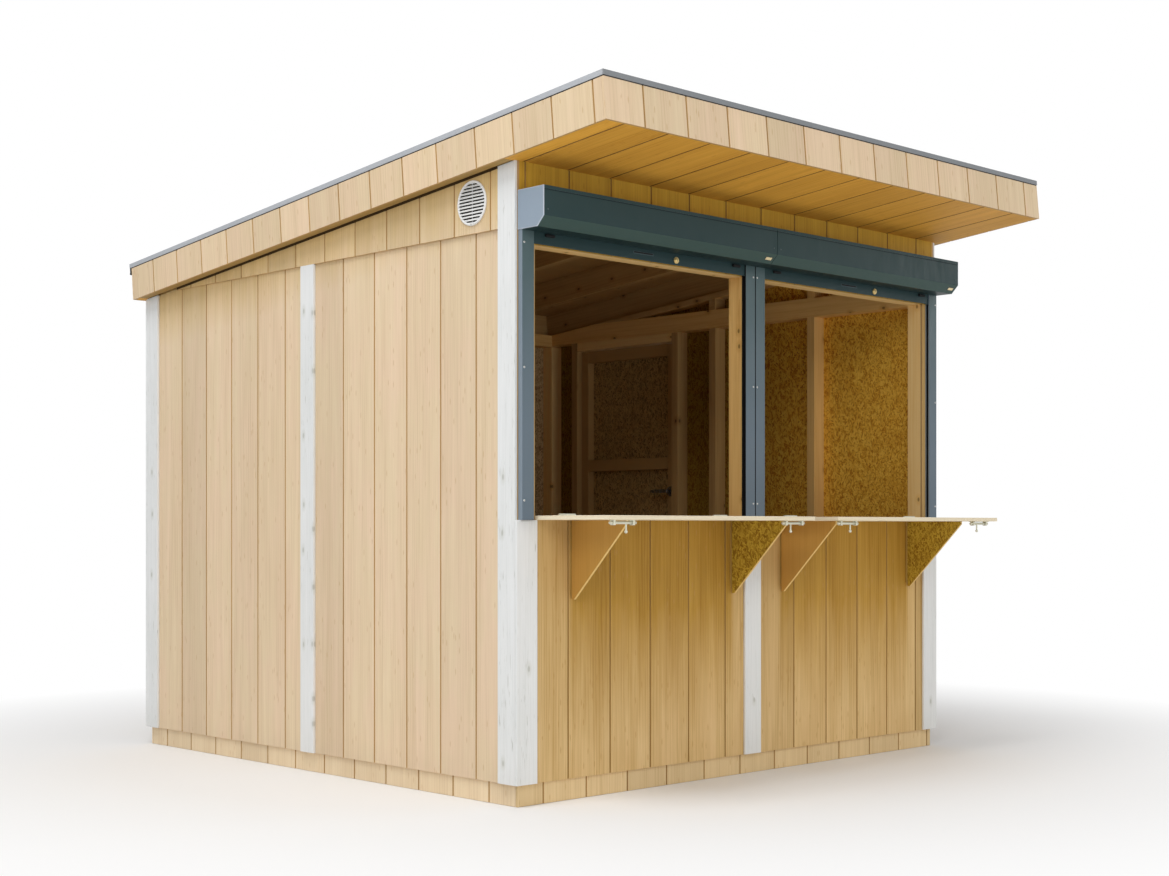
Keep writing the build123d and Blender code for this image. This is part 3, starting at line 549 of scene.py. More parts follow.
class Shape:
    """A mesh in the making, whose faces carry a grain direction and a tone for their board."""

    def __init__(self, name, materials):
        self.name = name
        self.materials = materials
        self.bm = bmesh.new()
        self.grain = self.bm.loops.layers.float_vector.new("grain")
        self.tone = self.bm.faces.layers.float.new("tone")
        self.random = Random(name)

    def board(self):
        """Grain offset and tone for one more board."""
        return Vector([self.random.uniform(-20, 20) for _ in range(3)]), self.random.uniform(-1, 1)

    def stain(self, faces, place, board, along=2, thin=1):
        """Lays the grain of one board over some faces: across the board, through it and along it."""
        offset, tone = board
        back = place.inverted_safe()
        order = (3 - along - thin, thin, along)
        for face in faces:
            face[self.tone] = tone
            for loop in face.loops:
                spot = back @ loop.vert.co
                loop[self.grain] = Vector([spot[axis] for axis in order]) + offset

    def block(self, low, high, place=IDENTITY, ease=0.001, skin=0, edge=None, along=None):
        """A box with eased edges; its grain runs along its longest side unless it is told."""
        low, high = Vector(low), Vector(high)
        size = high - low
        spot = Matrix.Translation((low + high) / 2) @ Matrix.Diagonal((*size, 1))
        made = bmesh.ops.create_cube(self.bm, size=1, matrix=place @ spot)["verts"]
        faces = list(dict.fromkeys(face for vert in made for face in vert.link_faces))
        for face in faces:
            face.material_index = skin
        if ease:
            edges = list(dict.fromkeys(line for vert in made for line in vert.link_edges))
            faces = whole(faces, bevelled(self.bm, edges, ease, skin if edge is None else edge))
        long = max(range(3), key=lambda axis: size[axis]) if along is None else along
        thin = min((axis for axis in range(3) if axis != long), key=lambda axis: size[axis])
        self.stain(faces, place, self.board(), long, thin)

    def plate(self, outline, place, thickness, ease, edge):
        """A flat plate with an outline in the place's plane and a rounded front rim."""
        rows = []
        for height in (0, thickness):
            rows.append([self.bm.verts.new(place @ Vector((*point, height))) for point in outline])
        faces = [self.bm.faces.new(rows[0]), self.bm.faces.new(rows[1])]
        count = len(outline)
        for index in range(count):
            after = (index + 1) % count
            faces.append(self.bm.faces.new([rows[0][index], rows[0][after], rows[1][after], rows[1][index]]))
        faces = whole(faces, bevelled(self.bm, list(faces[1].edges), ease, edge))
        self.stain(faces, place, self.board())

    def lathe(self, profile, place, segments=24, skin=0):
        """Turns (radius, height) points about the place's Z."""
        rings = []
        for radius, height in profile:
            count = segments if radius > 0 else 1
            ring = []
            for step in range(count):
                angle = 2 * pi * step / segments
                spot = Vector((radius * cos(angle), radius * sin(angle), height))
                ring.append(self.bm.verts.new(place @ spot))
            rings.append(ring)
        faces = []
        for low, high in zip(rings, rings[1:]):
            for step in range(segments):
                after = (step + 1) % segments
                corners = [low[step % len(low)], low[after % len(low)], high[after % len(high)],
                           high[step % len(high)]]
                face = self.bm.faces.new(list(dict.fromkeys(corners)))
                face.smooth = True
                face.material_index = skin
                faces.append(face)
        self.stain(faces, place, self.board())

    def screw(self, place, radius=0.004, skin=0, slot=1):
        """A raised screw head with a cross recess drawn as a dark cross of painted shade, standing on the
        place's plane.
        """
        rise = 0.45 * radius
        self.lathe([(radius, 0), (0.96 * radius, 0.3 * rise), (0.75 * radius, 0.75 * rise),
                    (0.4 * radius, rise), (0, rise)], place, segments=16, skin=skin)
        arm, half = 0.5 * radius, 0.11 * radius
        for x, y in ((arm, half), (half, arm)):
            self.block((-x, -y, 0.6 * rise), (x, y, 1.02 * rise), place, ease=0, skin=slot)

    def grooved(self, place, span, low, high, grooves, end_skin=3):
        """A panel with machined grooves, in a frame of across, up and out; high is its top at each end."""
        face_skin, groove_skin, back_skin, edge_skin = range(4)
        floor = SIDING - GROOVE_DEPTH
        points = [(span[0], SIDING, False)]
        for centre in grooves:
            if span[0] + EDGE_MARGIN <= centre < span[1] - EDGE_MARGIN:
                points += [(centre - GROOVE_HALF, SIDING, True), (centre - GROOVE_FLOOR_HALF, floor, False),
                           (centre + GROOVE_FLOOR_HALF, floor, False), (centre + GROOVE_HALF, SIDING, False)]
        points.append((span[1], SIDING, True))
        rows = []
        for across, out, _ in points:
            share = (across - span[0]) / (span[1] - span[0])
            top = high[0] + share * (high[1] - high[0])
            corners = ((across, low, out), (across, top, out), (across, top, 0), (across, low, 0))
            rows.append([self.bm.verts.new(place @ Vector(corner)) for corner in corners])
        board = self.board()
        upright = place @ facing((0, 0, 0), X, Z, Y)
        for near, far, (_, _, plain) in zip(rows, rows[1:], points[1:]):
            front_skin = face_skin if plain else groove_skin
            for side, skin in enumerate((front_skin, edge_skin, back_skin, edge_skin)):
                after = (side + 1) % 4
                face = self.bm.faces.new([near[side], far[side], far[after], near[after]])
                face.material_index = skin
                self.stain([face], upright, board)
            if plain:
                board = self.board()
        for row in (rows[0], rows[-1]):
            face = self.bm.faces.new(row)
            face.material_index = end_skin
            self.stain([face], upright, board)

    def cut(self, place, radius, depth):
        """Bores a round hole through the shape."""
        held = bpy.data.meshes.new("held")
        self.bm.to_mesh(held)
        body = new_object("held", held)
        tool_mesh = bpy.data.meshes.new("tool")
        tool = bmesh.new()
        bmesh.ops.create_cone(tool, cap_ends=True, segments=48, radius1=radius, radius2=radius, depth=depth,
                              matrix=place)
        tool.to_mesh(tool_mesh)
        tool.free()
        cutter = new_object("tool", tool_mesh)
        bore = body.modifiers.new("bore", "BOOLEAN")
        bore.operation = "DIFFERENCE"
        bore.solver = "EXACT"
        bore.object = cutter
        bpy.context.view_layer.update()
        result = bpy.data.meshes.new_from_object(body.evaluated_get(bpy.context.evaluated_depsgraph_get()))
        self.bm.clear()
        self.bm.from_mesh(result)
        self.grain = self.bm.loops.layers.float_vector["grain"]
        self.tone = self.bm.faces.layers.float["tone"]
        for item in (body, cutter):
            bpy.data.objects.remove(item)

    def finish(self, body, slot, *nodes):
        """Makes the object, which rides on a body and may stand for CAD nodes."""
        bmesh.ops.remove_doubles(self.bm, verts=self.bm.verts, dist=1e-6)
        bmesh.ops.dissolve_degenerate(self.bm, dist=1e-6, edges=self.bm.edges)
        bmesh.ops.recalc_face_normals(self.bm, faces=self.bm.faces)
        mesh = bpy.data.meshes.new(self.name)
        self.bm.to_mesh(mesh)
        self.bm.free()
        for material in self.materials:
            mesh.materials.append(material)
        made = new_object(self.name, mesh)
        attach(made, body)
        if nodes:
            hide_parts(*nodes)


def islands(bm):
    """The faces of each separate solid."""
    seen = set()
    for seed in bm.faces:
        if seed in seen:
            continue
        seen.add(seed)
        group, rim = [seed], [seed]
        while rim:
            for line in rim.pop().edges:
                for face in line.link_faces:
                    if face not in seen:
                        seen.add(face)
                        group.append(face)
                        rim.append(face)
        yield group


def flat_copy(node):
    """A mesh of a CAD node whose flat faces are whole."""
    source = bmesh.new()
    source.from_mesh(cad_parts[node].data)
    bmesh.ops.remove_doubles(source, verts=source.verts, dist=1e-5)
    bmesh.ops.dissolve_limit(source, angle_limit=radians(0.5), verts=source.verts, edges=source.edges)
    return source


def eased(node, name, body, slot, materials, ease, choose=None, along=None, place=IDENTITY):
    """A copy of a CAD node with eased edges that stands for it, each solid with its own grain."""
    shape = Shape(name, materials)
    source = flat_copy(node)
    copies = {vert: shape.bm.verts.new(vert.co) for vert in source.verts}
    for face in source.faces:
        shape.bm.faces.new([copies[vert] for vert in face.verts])
    source.free()
    bmesh.ops.recalc_face_normals(shape.bm, faces=shape.bm.faces)
    if choose:
        for face in shape.bm.faces:
            face.material_index = choose(face.normal, face.calc_center_median())
    if ease:
        sharp = radians(35)
        edges = [line for line in shape.bm.edges if line.is_manifold and line.calc_face_angle() > sharp]
        bevelled(shape.bm, edges, ease, -1 if choose or len(materials) == 1 else 1)
    back = place.inverted_safe()
    for group in islands(shape.bm):
        low, high = limits([back @ vert.co for face in group for vert in face.verts])
        size = [top - bottom for bottom, top in zip(low, high)]
        long = size.index(max(size)) if along is None else along
        thin = min((axis for axis in range(3) if axis != long), key=lambda axis: size[axis])
        shape.stain(group, place, shape.board(), long, thin)
    shape.finish(body, slot, node)


def plate_faces(node, outward):
    """Limits of the largest face of each solid of a CAD node that looks outward."""
    outward = Vector(outward)
    source = flat_copy(node)
    source.normal_update()
    for group in islands(source):
        facing_out = [face for face in group if face.normal.dot(outward) > 0.95]
        face = max(facing_out, key=lambda item: item.calc_area())
        low, high = limits([vert.co for vert in face.verts])
        yield Vector(low), Vector(high)
    source.free()


left_wall = side_frame(-1, LEFT_X)
right_wall = side_frame(1, RIGHT_X)
front_wall = front_frame(0, FRONT_Y, 0)
back_wall = facing((0, BACK_Y, 0), X, Z, Y)
vent_low, vent_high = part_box("gable_vent")
vent_place = side_frame(-1, vent_low.x, FRONT_Y + VENT_SETBACK, (vent_low.z + vent_high.z) / 2)
door_low, door_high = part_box("door_cladding")
SIDING_SKINS = [siding, groove_shade, osb, cut_edge]
DOOR_SKINS = [siding, groove_shade, osb_door_shaded, cut_edge]
BACK_SKINS = [siding, groove_shade, osb_back_shaded, cut_edge]
FRONT_SKINS = [siding_front_shaded, groove_shade_front, osb, cut_edge]
BAND_SKINS = [siding_band_shaded, groove_shade_front, osb, cut_edge]
EDGE_SKINS = [fascia_tan, groove_shade, cut_edge, cut_edge]
SKIRT_SKINS = [skirt_tan, groove_shade, cut_edge, cut_edge]
SKIRT_FRONT_SKINS = [skirt_front_shaded, groove_shade, cut_edge, cut_edge]
RIGHT_GROOVES = grooves_from(FRONT_Y + RIGHT_PHASE)
BORE = 0.2


def walls():
    """Grooved panels of the four walls, with the grooves where the photo has them."""
    panel = Shape("left_wall_siding", SIDING_SKINS)
    span = (left_low.y, left_high.y)
    tops = [roof_level(y) for y in span]
    panel.grooved(left_wall, span, FLOOR_TOP, tops, grooves_from(FRONT_Y + LEFT_PHASE))
    panel.cut(vent_place, VENT_HOLE / 2, BORE)
    panel.finish("hut", "siding", "siding_left")

    panel = Shape("right_wall_siding", SIDING_SKINS)
    door_gap = door_low.z - FLOOR_TOP
    jambs = (door_low.y - door_gap, door_high.y + door_gap)
    for span, low in (
        ((right_low.y, jambs[0]), FLOOR_TOP),
        ((jambs[0] + PANEL_GAP, jambs[1] - PANEL_GAP), door_high.z + door_gap),
        ((jambs[1], right_high.y), FLOOR_TOP),
    ):
        panel.grooved(right_wall, span, low, [roof_level(y) for y in span], RIGHT_GROOVES)
    panel.finish("hut", "siding", "siding_right")

    panel = Shape("back_wall_siding", BACK_SKINS)
    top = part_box("siding_back")[1].z
    panel.grooved(back_wall, (LEFT_X, RIGHT_X), FLOOR_TOP, (top, top), grooves_from(LEFT_X + BACK_PHASE))
    panel.finish("hut", "siding", "siding_back")

    panel = Shape("front_wall_siding", FRONT_SKINS)
    header_bottom = box_low.z - BOX_RISE
    top = roof_level(FRONT_FACE)
    low_grooves = grooves_from(LEFT_X + FRONT_PHASE)
    panel.grooved(front_wall, (LEFT_X, RIGHT_X), FLOOR_TOP, (SILL, SILL), low_grooves)
    jamb_top = header_bottom - PANEL_GAP
    for span in ((LEFT_X, -HATCH_OUTER), (-HATCH_INNER, HATCH_INNER), (HATCH_OUTER, RIGHT_X)):
        panel.grooved(front_wall, span, SILL + PANEL_GAP, (jamb_top, jamb_top), low_grooves)
    panel.finish("hut", "siding", "siding_front")

    band = Shape("front_band_siding", BAND_SKINS)
    band.grooved(front_wall, (LEFT_X, RIGHT_X), header_bottom, (top, top), grooves_from(LEFT_X + BAND_PHASE))
    band.finish("hut", "siding")


def gables():
    """Panels that stand in front of the side walls under the roof."""
    low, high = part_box("gable_panels")
    panel = Shape("gable_siding", SIDING_SKINS)
    for side in (-1, 1):
        place = side_frame(side, side * SIDE_FACE)
        panel.grooved(place, (low.y, high.y), low.z, (high.z, low.z), grooves_from(FRONT_Y + GABLE_PHASE))
        if side < 0:
            panel.cut(vent_place, VENT_HOLE / 2, BORE)
    panel.finish("hut", "siding", "gable_panels")


def skirt():
    """Low boards round the floor."""
    panel = Shape("skirt_siding", SKIRT_SKINS)
    front = Shape("skirt_siding_front", SKIRT_FRONT_SKINS)
    side_run = (FRONT_Y + SIDING + PANEL_GAP, BACK_Y - SIDING - PANEL_GAP)
    end_run = (LEFT_X, RIGHT_X)
    for shape, origin, across, out, span, phase in (
        (front, (0, FRONT_Y + SIDING, 0), X, (0, -1, 0), end_run, LEFT_X + SKIRT_FRONT_PHASE),
        (panel, (0, BACK_Y - SIDING, 0), X, Y, end_run, LEFT_X + SKIRT_BACK_PHASE),
        (panel, (LEFT_X + SIDING, 0, 0), Y, (-1, 0, 0), side_run, FRONT_Y + SKIRT_LEFT_PHASE),
        (panel, (RIGHT_X - SIDING, 0, 0), Y, X, side_run, FRONT_Y + SKIRT_RIGHT_PHASE),
    ):
        place = facing(origin, across, Z, out)
        shape.grooved(place, span, 0, (FLOOR_TOP, FLOOR_TOP), grooves_from(phase), end_skin=0)
    panel.finish("hut", "siding", "skirt_boards")
    front.finish("hut", "siding")


def fascia():
    """Boards round the roof's edge."""
    panel = Shape("fascia_siding", EDGE_SKINS)
    side_run = (SIDING + PANEL_GAP, ROOF_LENGTH - SIDING - PANEL_GAP)
    end_run = (-ROOF_HALF, ROOF_HALF)
    side_phase = (FRONT_OVERHANG + FASCIA_SIDE_PHASE) / cos(ROOF_PITCH)
    joint = 0.662
    side_grooves = grooves_from(joint, last=1) + grooves_from(side_phase, first=-1)
    for origin, across, out, span, grooves in (
        ((0, SIDING, 0), X, (0, -1, 0), end_run, grooves_from(LEFT_X + FASCIA_FRONT_PHASE)),
        ((0, ROOF_LENGTH - SIDING, 0), X, Y, end_run, grooves_from(LEFT_X + FASCIA_BACK_PHASE)),
        ((-ROOF_INNER, 0, 0), Y, (-1, 0, 0), side_run, side_grooves),
        ((ROOF_INNER, 0, 0), Y, X, side_run, side_grooves),
    ):
        place = roof_place @ facing(origin, across, Z, out)
        panel.grooved(place, span, 0, (FASCIA_HEIGHT, FASCIA_HEIGHT), grooves, end_skin=0)
    panel.finish("hut", "siding", "fascia_boards")


def soffit():
    """Grooved boards under the overhangs."""
    panel = Shape("soffit_siding", [soffit_shaded, soffit_groove_shade, osb, cut_edge])
    wall_start = FRONT_OVERHANG / cos(ROOF_PITCH) - SIDING * tan(ROOF_PITCH)
    wall_end = (FRONT_OVERHANG + BACK_Y - FRONT_Y) / cos(ROOF_PITCH)
    under = roof_place @ facing((0, 0, SIDING), X, Y, (0, 0, -1))
    end_run = (-ROOF_INNER, ROOF_INNER)
    strip_run = (wall_start + PANEL_GAP, wall_end - PANEL_GAP)
    grooves = grooves_from(LEFT_X + SOFFIT_PHASE)
    for start, end in ((SIDING, wall_start), (wall_end, ROOF_LENGTH - SIDING)):
        panel.grooved(under, end_run, start, (end, end), grooves)
    panel.finish("hut", "soffit", "soffit_boards")

    strips = Shape("soffit_strips", [soffit_side_shaded, soffit_groove_shade, osb, cut_edge])
    # Dark brown strips in the slot beside each gable and in the gap above it: a painted shade along the
    # soffit's edge
    gap_shades = Shape("soffit_seals", [gap_shade_brown])
    gable_face = SIDE_FACE + SIDING
    slot = gable_face + SHADE_STRIP_WIDTH
    sunk, gap_inset, gap_drop = 0.003, 0.0015, 0.0072
    start, end = strip_run
    gap_run = [(corner.y - ROOF_FRONT) / cos(ROOF_PITCH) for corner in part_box("gable_panels")]
    for side in (-1, 1):
        strips.grooved(under, sorted((side * ROOF_INNER, side * slot)), start, (end, end), grooves)
        shade_x = sorted((side * gable_face, side * slot))
        gap_shades.block((shade_x[0], start, sunk), (shade_x[1], end, SIDING), roof_place, ease=0.001)
        gap_x = sorted((side * SIDE_FACE, side * (gable_face - gap_inset)))
        gap_shades.block((gap_x[0], gap_run[0], -gap_drop), (gap_x[1], gap_run[1], SIDING), roof_place,
                    ease=0.0005)
    strips.finish("hut", "soffit")
    gap_shades.finish("hut", "soffit")


def planks(shape, low, high, count, place=IDENTITY):
    """Boards across the hut that fill a box, with a fine joint between them."""
    joint = 0.0012
    width = (high.y - low.y + joint) / count
    for number in range(count):
        start = low.y + number * width
        shape.block((low.x, start, low.z), (high.x, start + width - joint, high.z), place, ease=0.0012)


def depth_skin(normal, centre):
    """Paler near the hatches, where the daylight reaches, and deeper at the back."""
    return 0 if centre.y < DAYLIGHT_END else 1


def boards():
    """Frame timber, floor and white boards, each with eased arrises and its own grain."""
    for node in ("hatch_sills", "side_top_plates", "end_top_plates"):
        eased(node, f"{node}_timber", "hut", "frame_timber", [timber], ARRIS)
    for node in ("bottom_plates", "wall_studs", "gable_plates", "gable_studs"):
        eased(node, f"{node}_timber", "hut", "frame_timber", [timber, timber_shaded], ARRIS, depth_skin)
    for node in ("corner_posts", "headers"):
        eased(node, f"{node}_timber", "hut", "frame_timber", [timber_lit], ARRIS)
    for node in ("rafters", "roof_end_rims", "roof_side_rims"):
        eased(node, f"{node}_timber", "hut", "frame_timber", [timber_shaded], ARRIS, place=roof_place)
    for node in ("floor_joists", "floor_rims"):
        eased(node, f"{node}_timber", "hut", "floor_timber", [treated], ARRIS)
    for node in ("corner_boards", "mid_battens"):
        eased(node, f"{node}_white", "hut", "white_trim", [white], ARRIS, along=2)

    low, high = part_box("floor_deck")
    deck = Shape("floor_planks", [deck_wood])
    planks(deck, low, high, FLOOR_PLANKS)
    deck.finish("hut", "floor_boards", "floor_deck")
    ceiling = Shape("roof_planks", [ceiling_wood_shaded])
    planks(ceiling, Vector((-ROOF_INNER, SIDING, FASCIA_HEIGHT - ROOF_DECK)),
           Vector((ROOF_INNER, ROOF_LENGTH - SIDING, FASCIA_HEIGHT)), ROOF_PLANKS, roof_place)
    ceiling.finish("hut", "roof_boards", "roof_deck")


def trim_skin(normal, centre):
    """Darker on what looks forward, a painted shade."""
    return 1 if normal.y < -0.7 else 0


def roof_skin():
    """Rubber sheet with lapped seams, its rear drip and the metal edge."""
    eased("roof_membrane", "roof_sheet", "hut", "roof_rubber", [rubber], 0.0008)
    eased("drip_edge", "rear_drip", "hut", "roof_rubber", [black], 0.0004)
    eased("edge_trim", "roof_edge_metal", "hut", "edge_metal", [trim_metal, trim_metal_shaded], 0.0004, trim_skin)
    hem = Shape("roof_edge_hem", [trim_metal, trim_metal_shaded])
    low, high = FASCIA_HEIGHT + 0.0035, FASCIA_HEIGHT + 0.007
    reach = ROOF_HALF + EDGE_TRIM
    end = ROOF_LENGTH + EDGE_TRIM_TAIL
    hem.block((-reach, -EDGE_TRIM, low), (reach, 0, high), roof_place, ease=0.0004, skin=1)
    for side in (-1, 1):
        x = sorted((side * reach, side * ROOF_HALF))
        hem.block((x[0], PANEL_GAP, low), (x[1], end, high), roof_place, ease=0.0004)
    hem.finish("hut", "edge_metal")
    seams = Shape("roof_seams", [rubber])
    sheet_top = FASCIA_HEIGHT + MEMBRANE
    seam, half, rise = 0.42, 0.04, 0.0012
    for x in (-seam, seam):
        seams.block((x - half, KERB_WIDTH, sheet_top), (x + half, ROOF_LENGTH, sheet_top + rise), roof_place,
                    ease=0.0006)
    seams.finish("hut", "roof_rubber")


def rail_skin(normal, centre):
    """Dark in the channel; paler on the sides, a painted light."""
    edge = 0.0015
    inside_x = all(abs(abs(centre.x) - limit) > edge for limit in (rail_high.x, rail_high.x - RAIL_WIDTH))
    if inside_x and rail_low.y + edge < centre.y < rail_high.y - edge:
        return 1
    return 2 if abs(normal.x) > 0.7 else 0


def box_skin(normal, centre):
    """Paler on the chamfer, a painted light on the face that looks down and forward."""
    return 1 if normal.y < -0.5 and normal.z < -0.5 else 0


def shutters():
    """Boxes with lips and end caps, rails and bottom bars."""
    eased("shutter_boxes", "shutter_housings", "hut", "shutter_paint", [teal, teal_chamfer_lit], 0.0008, box_skin)
    eased("guide_rails", "shutter_rails", "hut", "shutter_paint", [slate, black, slate_side_lit], 0.0005,
          rail_skin)
    eased("shutter_bottom_bars", "shutter_bars", "hut", "shutter_paint", [teal, teal_edge], 0.0008)

    lips = Shape("shutter_lips", [teal, teal_edge, teal_shadow_line])
    lip, proud, joint, line = 0.012, 0.0009, 0.001, 0.0035
    for x in ((box_low.x, -joint), (joint, box_high.x)):
        under = box_high.z - lip
        lips.block((x[0], box_low.y - proud, under), (x[1], box_low.y, box_high.z), ease=0.0006, edge=1)
        # A dark strip just under each lip: a painted shadow line
        lips.block((x[0], box_low.y - proud / 3, under - line), (x[1], box_low.y, under), ease=0, skin=2)
    lips.finish("hut", "shutter_paint")

    # End caps in painted light, with painted highlights on their rims
    caps = Shape("shutter_caps", [cap_slate_lit, cap_edge_highlight])
    cap, rim = 0.0035, 0.0026
    outline = [
        (box_high.y, box_low.z), (box_high.y, box_high.z), (box_low.y, box_high.z),
        (box_low.y, box_low.z + BOX_CHAMFER), (box_low.y + BOX_CHAMFER, box_low.z),
    ]
    for side, reach in ((-1, -box_low.x), (1, box_high.x)):
        caps.plate(outline, side_frame(side, side * reach), cap, rim, 1)
    caps.finish("hut", "shutter_paint")


def shutter_fittings():
    """Locks, finger recesses, rubber stops, bare plates and screws of the shutters."""
    parts = Shape("shutter_fittings", [brass, recess, black, plate_gold, teal_edge, steel])
    bar_face = bar_low.y
    bar_middle = (bar_low.z + box_low.z) / 2
    mid_rail = RAIL_MID_GAP / 2
    clear_half = (rail_high.x - RAIL_WIDTH - (RAIL_WIDTH + mid_rail)) / 2
    slope = 1 / sqrt(2)
    lock_share, lock_drop = 0.148, 0.003
    collar = [(0.0125, 0), (0.0125, 0.003), (0.0115, 0.0045), (0.009, 0.0045), (0.0085, 0.0035), (0, 0.0035)]
    barrel = [(0.0078, 0.0034), (0.0078, 0.0058), (0.0070, 0.0064), (0, 0.0064)]
    grip_shift, grip_rise = 0.01, 0.004
    stop_shares, stop_drop = (-0.432, 0.45), 0.021
    plate_inset, box_screw_x, box_screw_rise = 0.033, 0.579, 0.022
    rail_screw_inset, rail_screw_heights = 0.009, (1.057, 1.515, 1.945)
    brass_skin, shade_skin, black_skin, plate_skin, rim_skin, steel_skin = range(6)
    for side in (-1, 1):
        middle = side * (rail_high.x - RAIL_WIDTH - clear_half)
        lock = front_frame(middle + lock_share * 2 * clear_half, bar_face, bar_middle - lock_drop)
        for profile in (collar, barrel):
            parts.lathe(profile, lock, skin=brass_skin)
        parts.block((-0.0009, -0.0045, 0.0055), (0.0009, 0.0045, 0.0066), lock, ease=0, skin=shade_skin)
        grip = front_frame(middle - grip_shift, bar_face, bar_middle + grip_rise)
        parts.block((-0.052, -0.0050, 0), (0.052, 0.0045, 0.0012), grip, ease=0.0008, skin=rim_skin)
        parts.block((-0.049, -0.0024, 0.0006), (0.049, 0.0030, 0.0016), grip, ease=0.0004, skin=black_skin)
        for share in stop_shares:
            stop = front_frame(middle + share * 2 * clear_half, bar_face, bar_high.z - stop_drop)
            parts.block((-0.021, -0.0055, 0), (0.021, 0.0055, 0.011), stop, ease=0.004, skin=black_skin)
        box_end = box_high.x if side > 0 else 0.0
        spot = (box_end - plate_inset, box_low.y + BOX_CHAMFER / 2, box_low.z + BOX_CHAMFER / 2)
        chamfer = facing(spot, X, (0, -slope, slope), (0, -slope, -slope))
        # A dark rim round the bare plate: a painted shadow
        parts.block((-0.0185, -0.008, 0), (0.0185, 0.008, 0.0006), chamfer, ease=0.0003, skin=shade_skin)
        parts.block((-0.0165, -0.006, 0), (0.0165, 0.006, 0.0014), chamfer, ease=0.0005, skin=plate_skin)
        for x in (middle - box_screw_x, middle + box_screw_x):
            place = front_frame(x, box_low.y, box_low.z + BOX_CHAMFER + box_screw_rise)
            parts.screw(place, 0.0032, rim_skin, shade_skin)
    near, far = rail_screw_inset, RAIL_WIDTH - rail_screw_inset
    outer, inner = rail_high.x - RAIL_WIDTH, RAIL_WIDTH + mid_rail
    for x in (near - rail_high.x, far - inner, mid_rail + near, outer + far):
        for z in rail_screw_heights:
            parts.screw(front_frame(x, rail_low.y, z), 0.0040, steel_skin, shade_skin)
    parts.finish("hut", "shutter_paint")


def ply_skin(normal, centre):
    """Plies on the edges."""
    return 0 if abs(normal.z) > 0.7 else 1


def bracket_skin(inner):
    """Strand board on the inner face, a smooth face outside and a sawn edge."""
    def choose(normal, centre):
        if abs(normal.x) < 0.7:
            return 1
        return 2 if normal.x * inner > 0 else 0
    return choose


def bolt(number):
    """A round rod with a hanging stem that ends in a ball."""
    low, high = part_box(f"bolt_{number}")
    radius = (high.y - low.y) / 2
    outward = -1 if number % 2 else 1
    middle = (low + high) / 2
    rod_z = high.z - radius
    half = (high.x - low.x) / 2
    part = Shape(f"bolt_{number}_rod", [zinc])
    rod = side_frame(1, middle.x, middle.y, rod_z)
    nose = 0.0015
    part.lathe([(0, -half), (radius - nose, -half), (radius, nose - half), (radius, half - nose),
                (radius - nose, half), (0, half)], rod)
    stem = Matrix.Translation((middle.x - outward * KNOB_OFFSET, middle.y, low.z))
    ball, neck = 0.0058, 0.0031
    ring = [(ball * sin(step * pi / 10), ball - ball * cos(step * pi / 10)) for step in range(9)]
    part.lathe(ring + [(neck, 2 * ball - 0.0006), (neck, rod_z - low.z)], stem, segments=20)
    part.finish(f"sliding_bolt_{number}", "bolt_steel", f"bolt_{number}")


def counters():
    """Ply counters on their hinges, with folding brackets and barrel bolts below."""
    eased("sill_boards", "sill_ply", "hut", "counter_ply", [ply_face, ply_sides], 0.0008, ply_skin)
    for side in ("left", "right"):
        node, body = f"counter_{side}", f"{side}_counter"
        eased(node, f"{node}_ply", body, "counter_ply", [ply_face, ply_sides], 0.0012, ply_skin)
        eased(f"{node}_hardware", f"{node}_metal", body, "hinge_steel", [zinc], 0.0004)
        heads = Shape(f"{node}_screws", [steel, recess])
        for low, high in plate_faces(f"{node}_hardware", Z):
            if high.z > SILL + 0.001:
                for share in (0.2, 0.8):
                    spot = (low.x + share * (high.x - low.x), (low.y + high.y) / 2, high.z)
                    heads.screw(Matrix.Translation(spot), 0.003)
        heads.finish(body, "hinge_steel")
    for number in range(1, 5):
        inner = 1 if number % 2 else -1
        node, body = f"bracket_{number}", f"folding_bracket_{number}"
        eased(node, f"{node}_board", body, "bracket_board", [bracket_face, bracket_edge, osb_bracket_shaded], 0.0006,
              bracket_skin(inner), along=2)
        eased(f"{node}_leaves", f"{node}_hinge", body, "hinge_steel", [hinge_shade_brown], 0.0)
        bolt(number)


def hinge_skin(normal, centre):
    """Shade brown on the bracket hinges, which stand under the counters: a painted shade."""
    return 1 if centre.z < SILL and centre.x < RIGHT_X else 0


def hinges():
    """Fixed hinge leaves and the door's own, with their screws."""
    eased("hinge_plates", "hinge_leaves_fixed", "hut", "hinge_steel", [zinc, hinge_shade_brown], 0.0, hinge_skin)
    eased("door_hinge_leaves", "hinge_leaves_door", "door", "hinge_steel", [zinc], 0.0)
    for node, body in (("hinge_plates", "hut"), ("door_hinge_leaves", "door")):
        heads = Shape(f"{node}_screws", [steel, recess])
        for low, high in plate_faces(node, X):
            if high.x > SIDE_FACE:
                for share in (0.18, 0.5, 0.82):
                    height = low.z + share * (high.z - low.z)
                    heads.screw(side_frame(1, high.x, (low.y + high.y) / 2, height), 0.0045)
        heads.finish(body, "hinge_steel")


def door():
    """Leaf of siding on a frame of stiles and rails, with a lever on each face."""
    leaf = Shape("door_leaf_siding", DOOR_SKINS)
    leaf.grooved(right_wall, (door_low.y, door_high.y), door_low.z, (door_high.z, door_high.z), RIGHT_GROOVES)
    leaf.finish("door", "siding", "door_cladding")
    low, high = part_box("door_frame")
    joinery = Shape("door_frame_timber", [timber_shaded])
    stiles = (low.y + DOOR_STILE, high.y - DOOR_STILE)
    for y in ((low.y, stiles[0]), (stiles[1], high.y)):
        joinery.block((low.x, y[0], low.z), (high.x, y[1], high.z), ease=ARRIS)
    for z in (low.z, DOOR_MID_RAIL, high.z - DOOR_RAIL):
        joinery.block((low.x, stiles[0], z), (high.x, stiles[1], z + DOOR_RAIL), ease=ARRIS)
    joinery.finish("door", "frame_timber", "door_frame")
    eased("door_handles", "door_levers", "door", "handle_steel", [lever_steel], 0.0012)


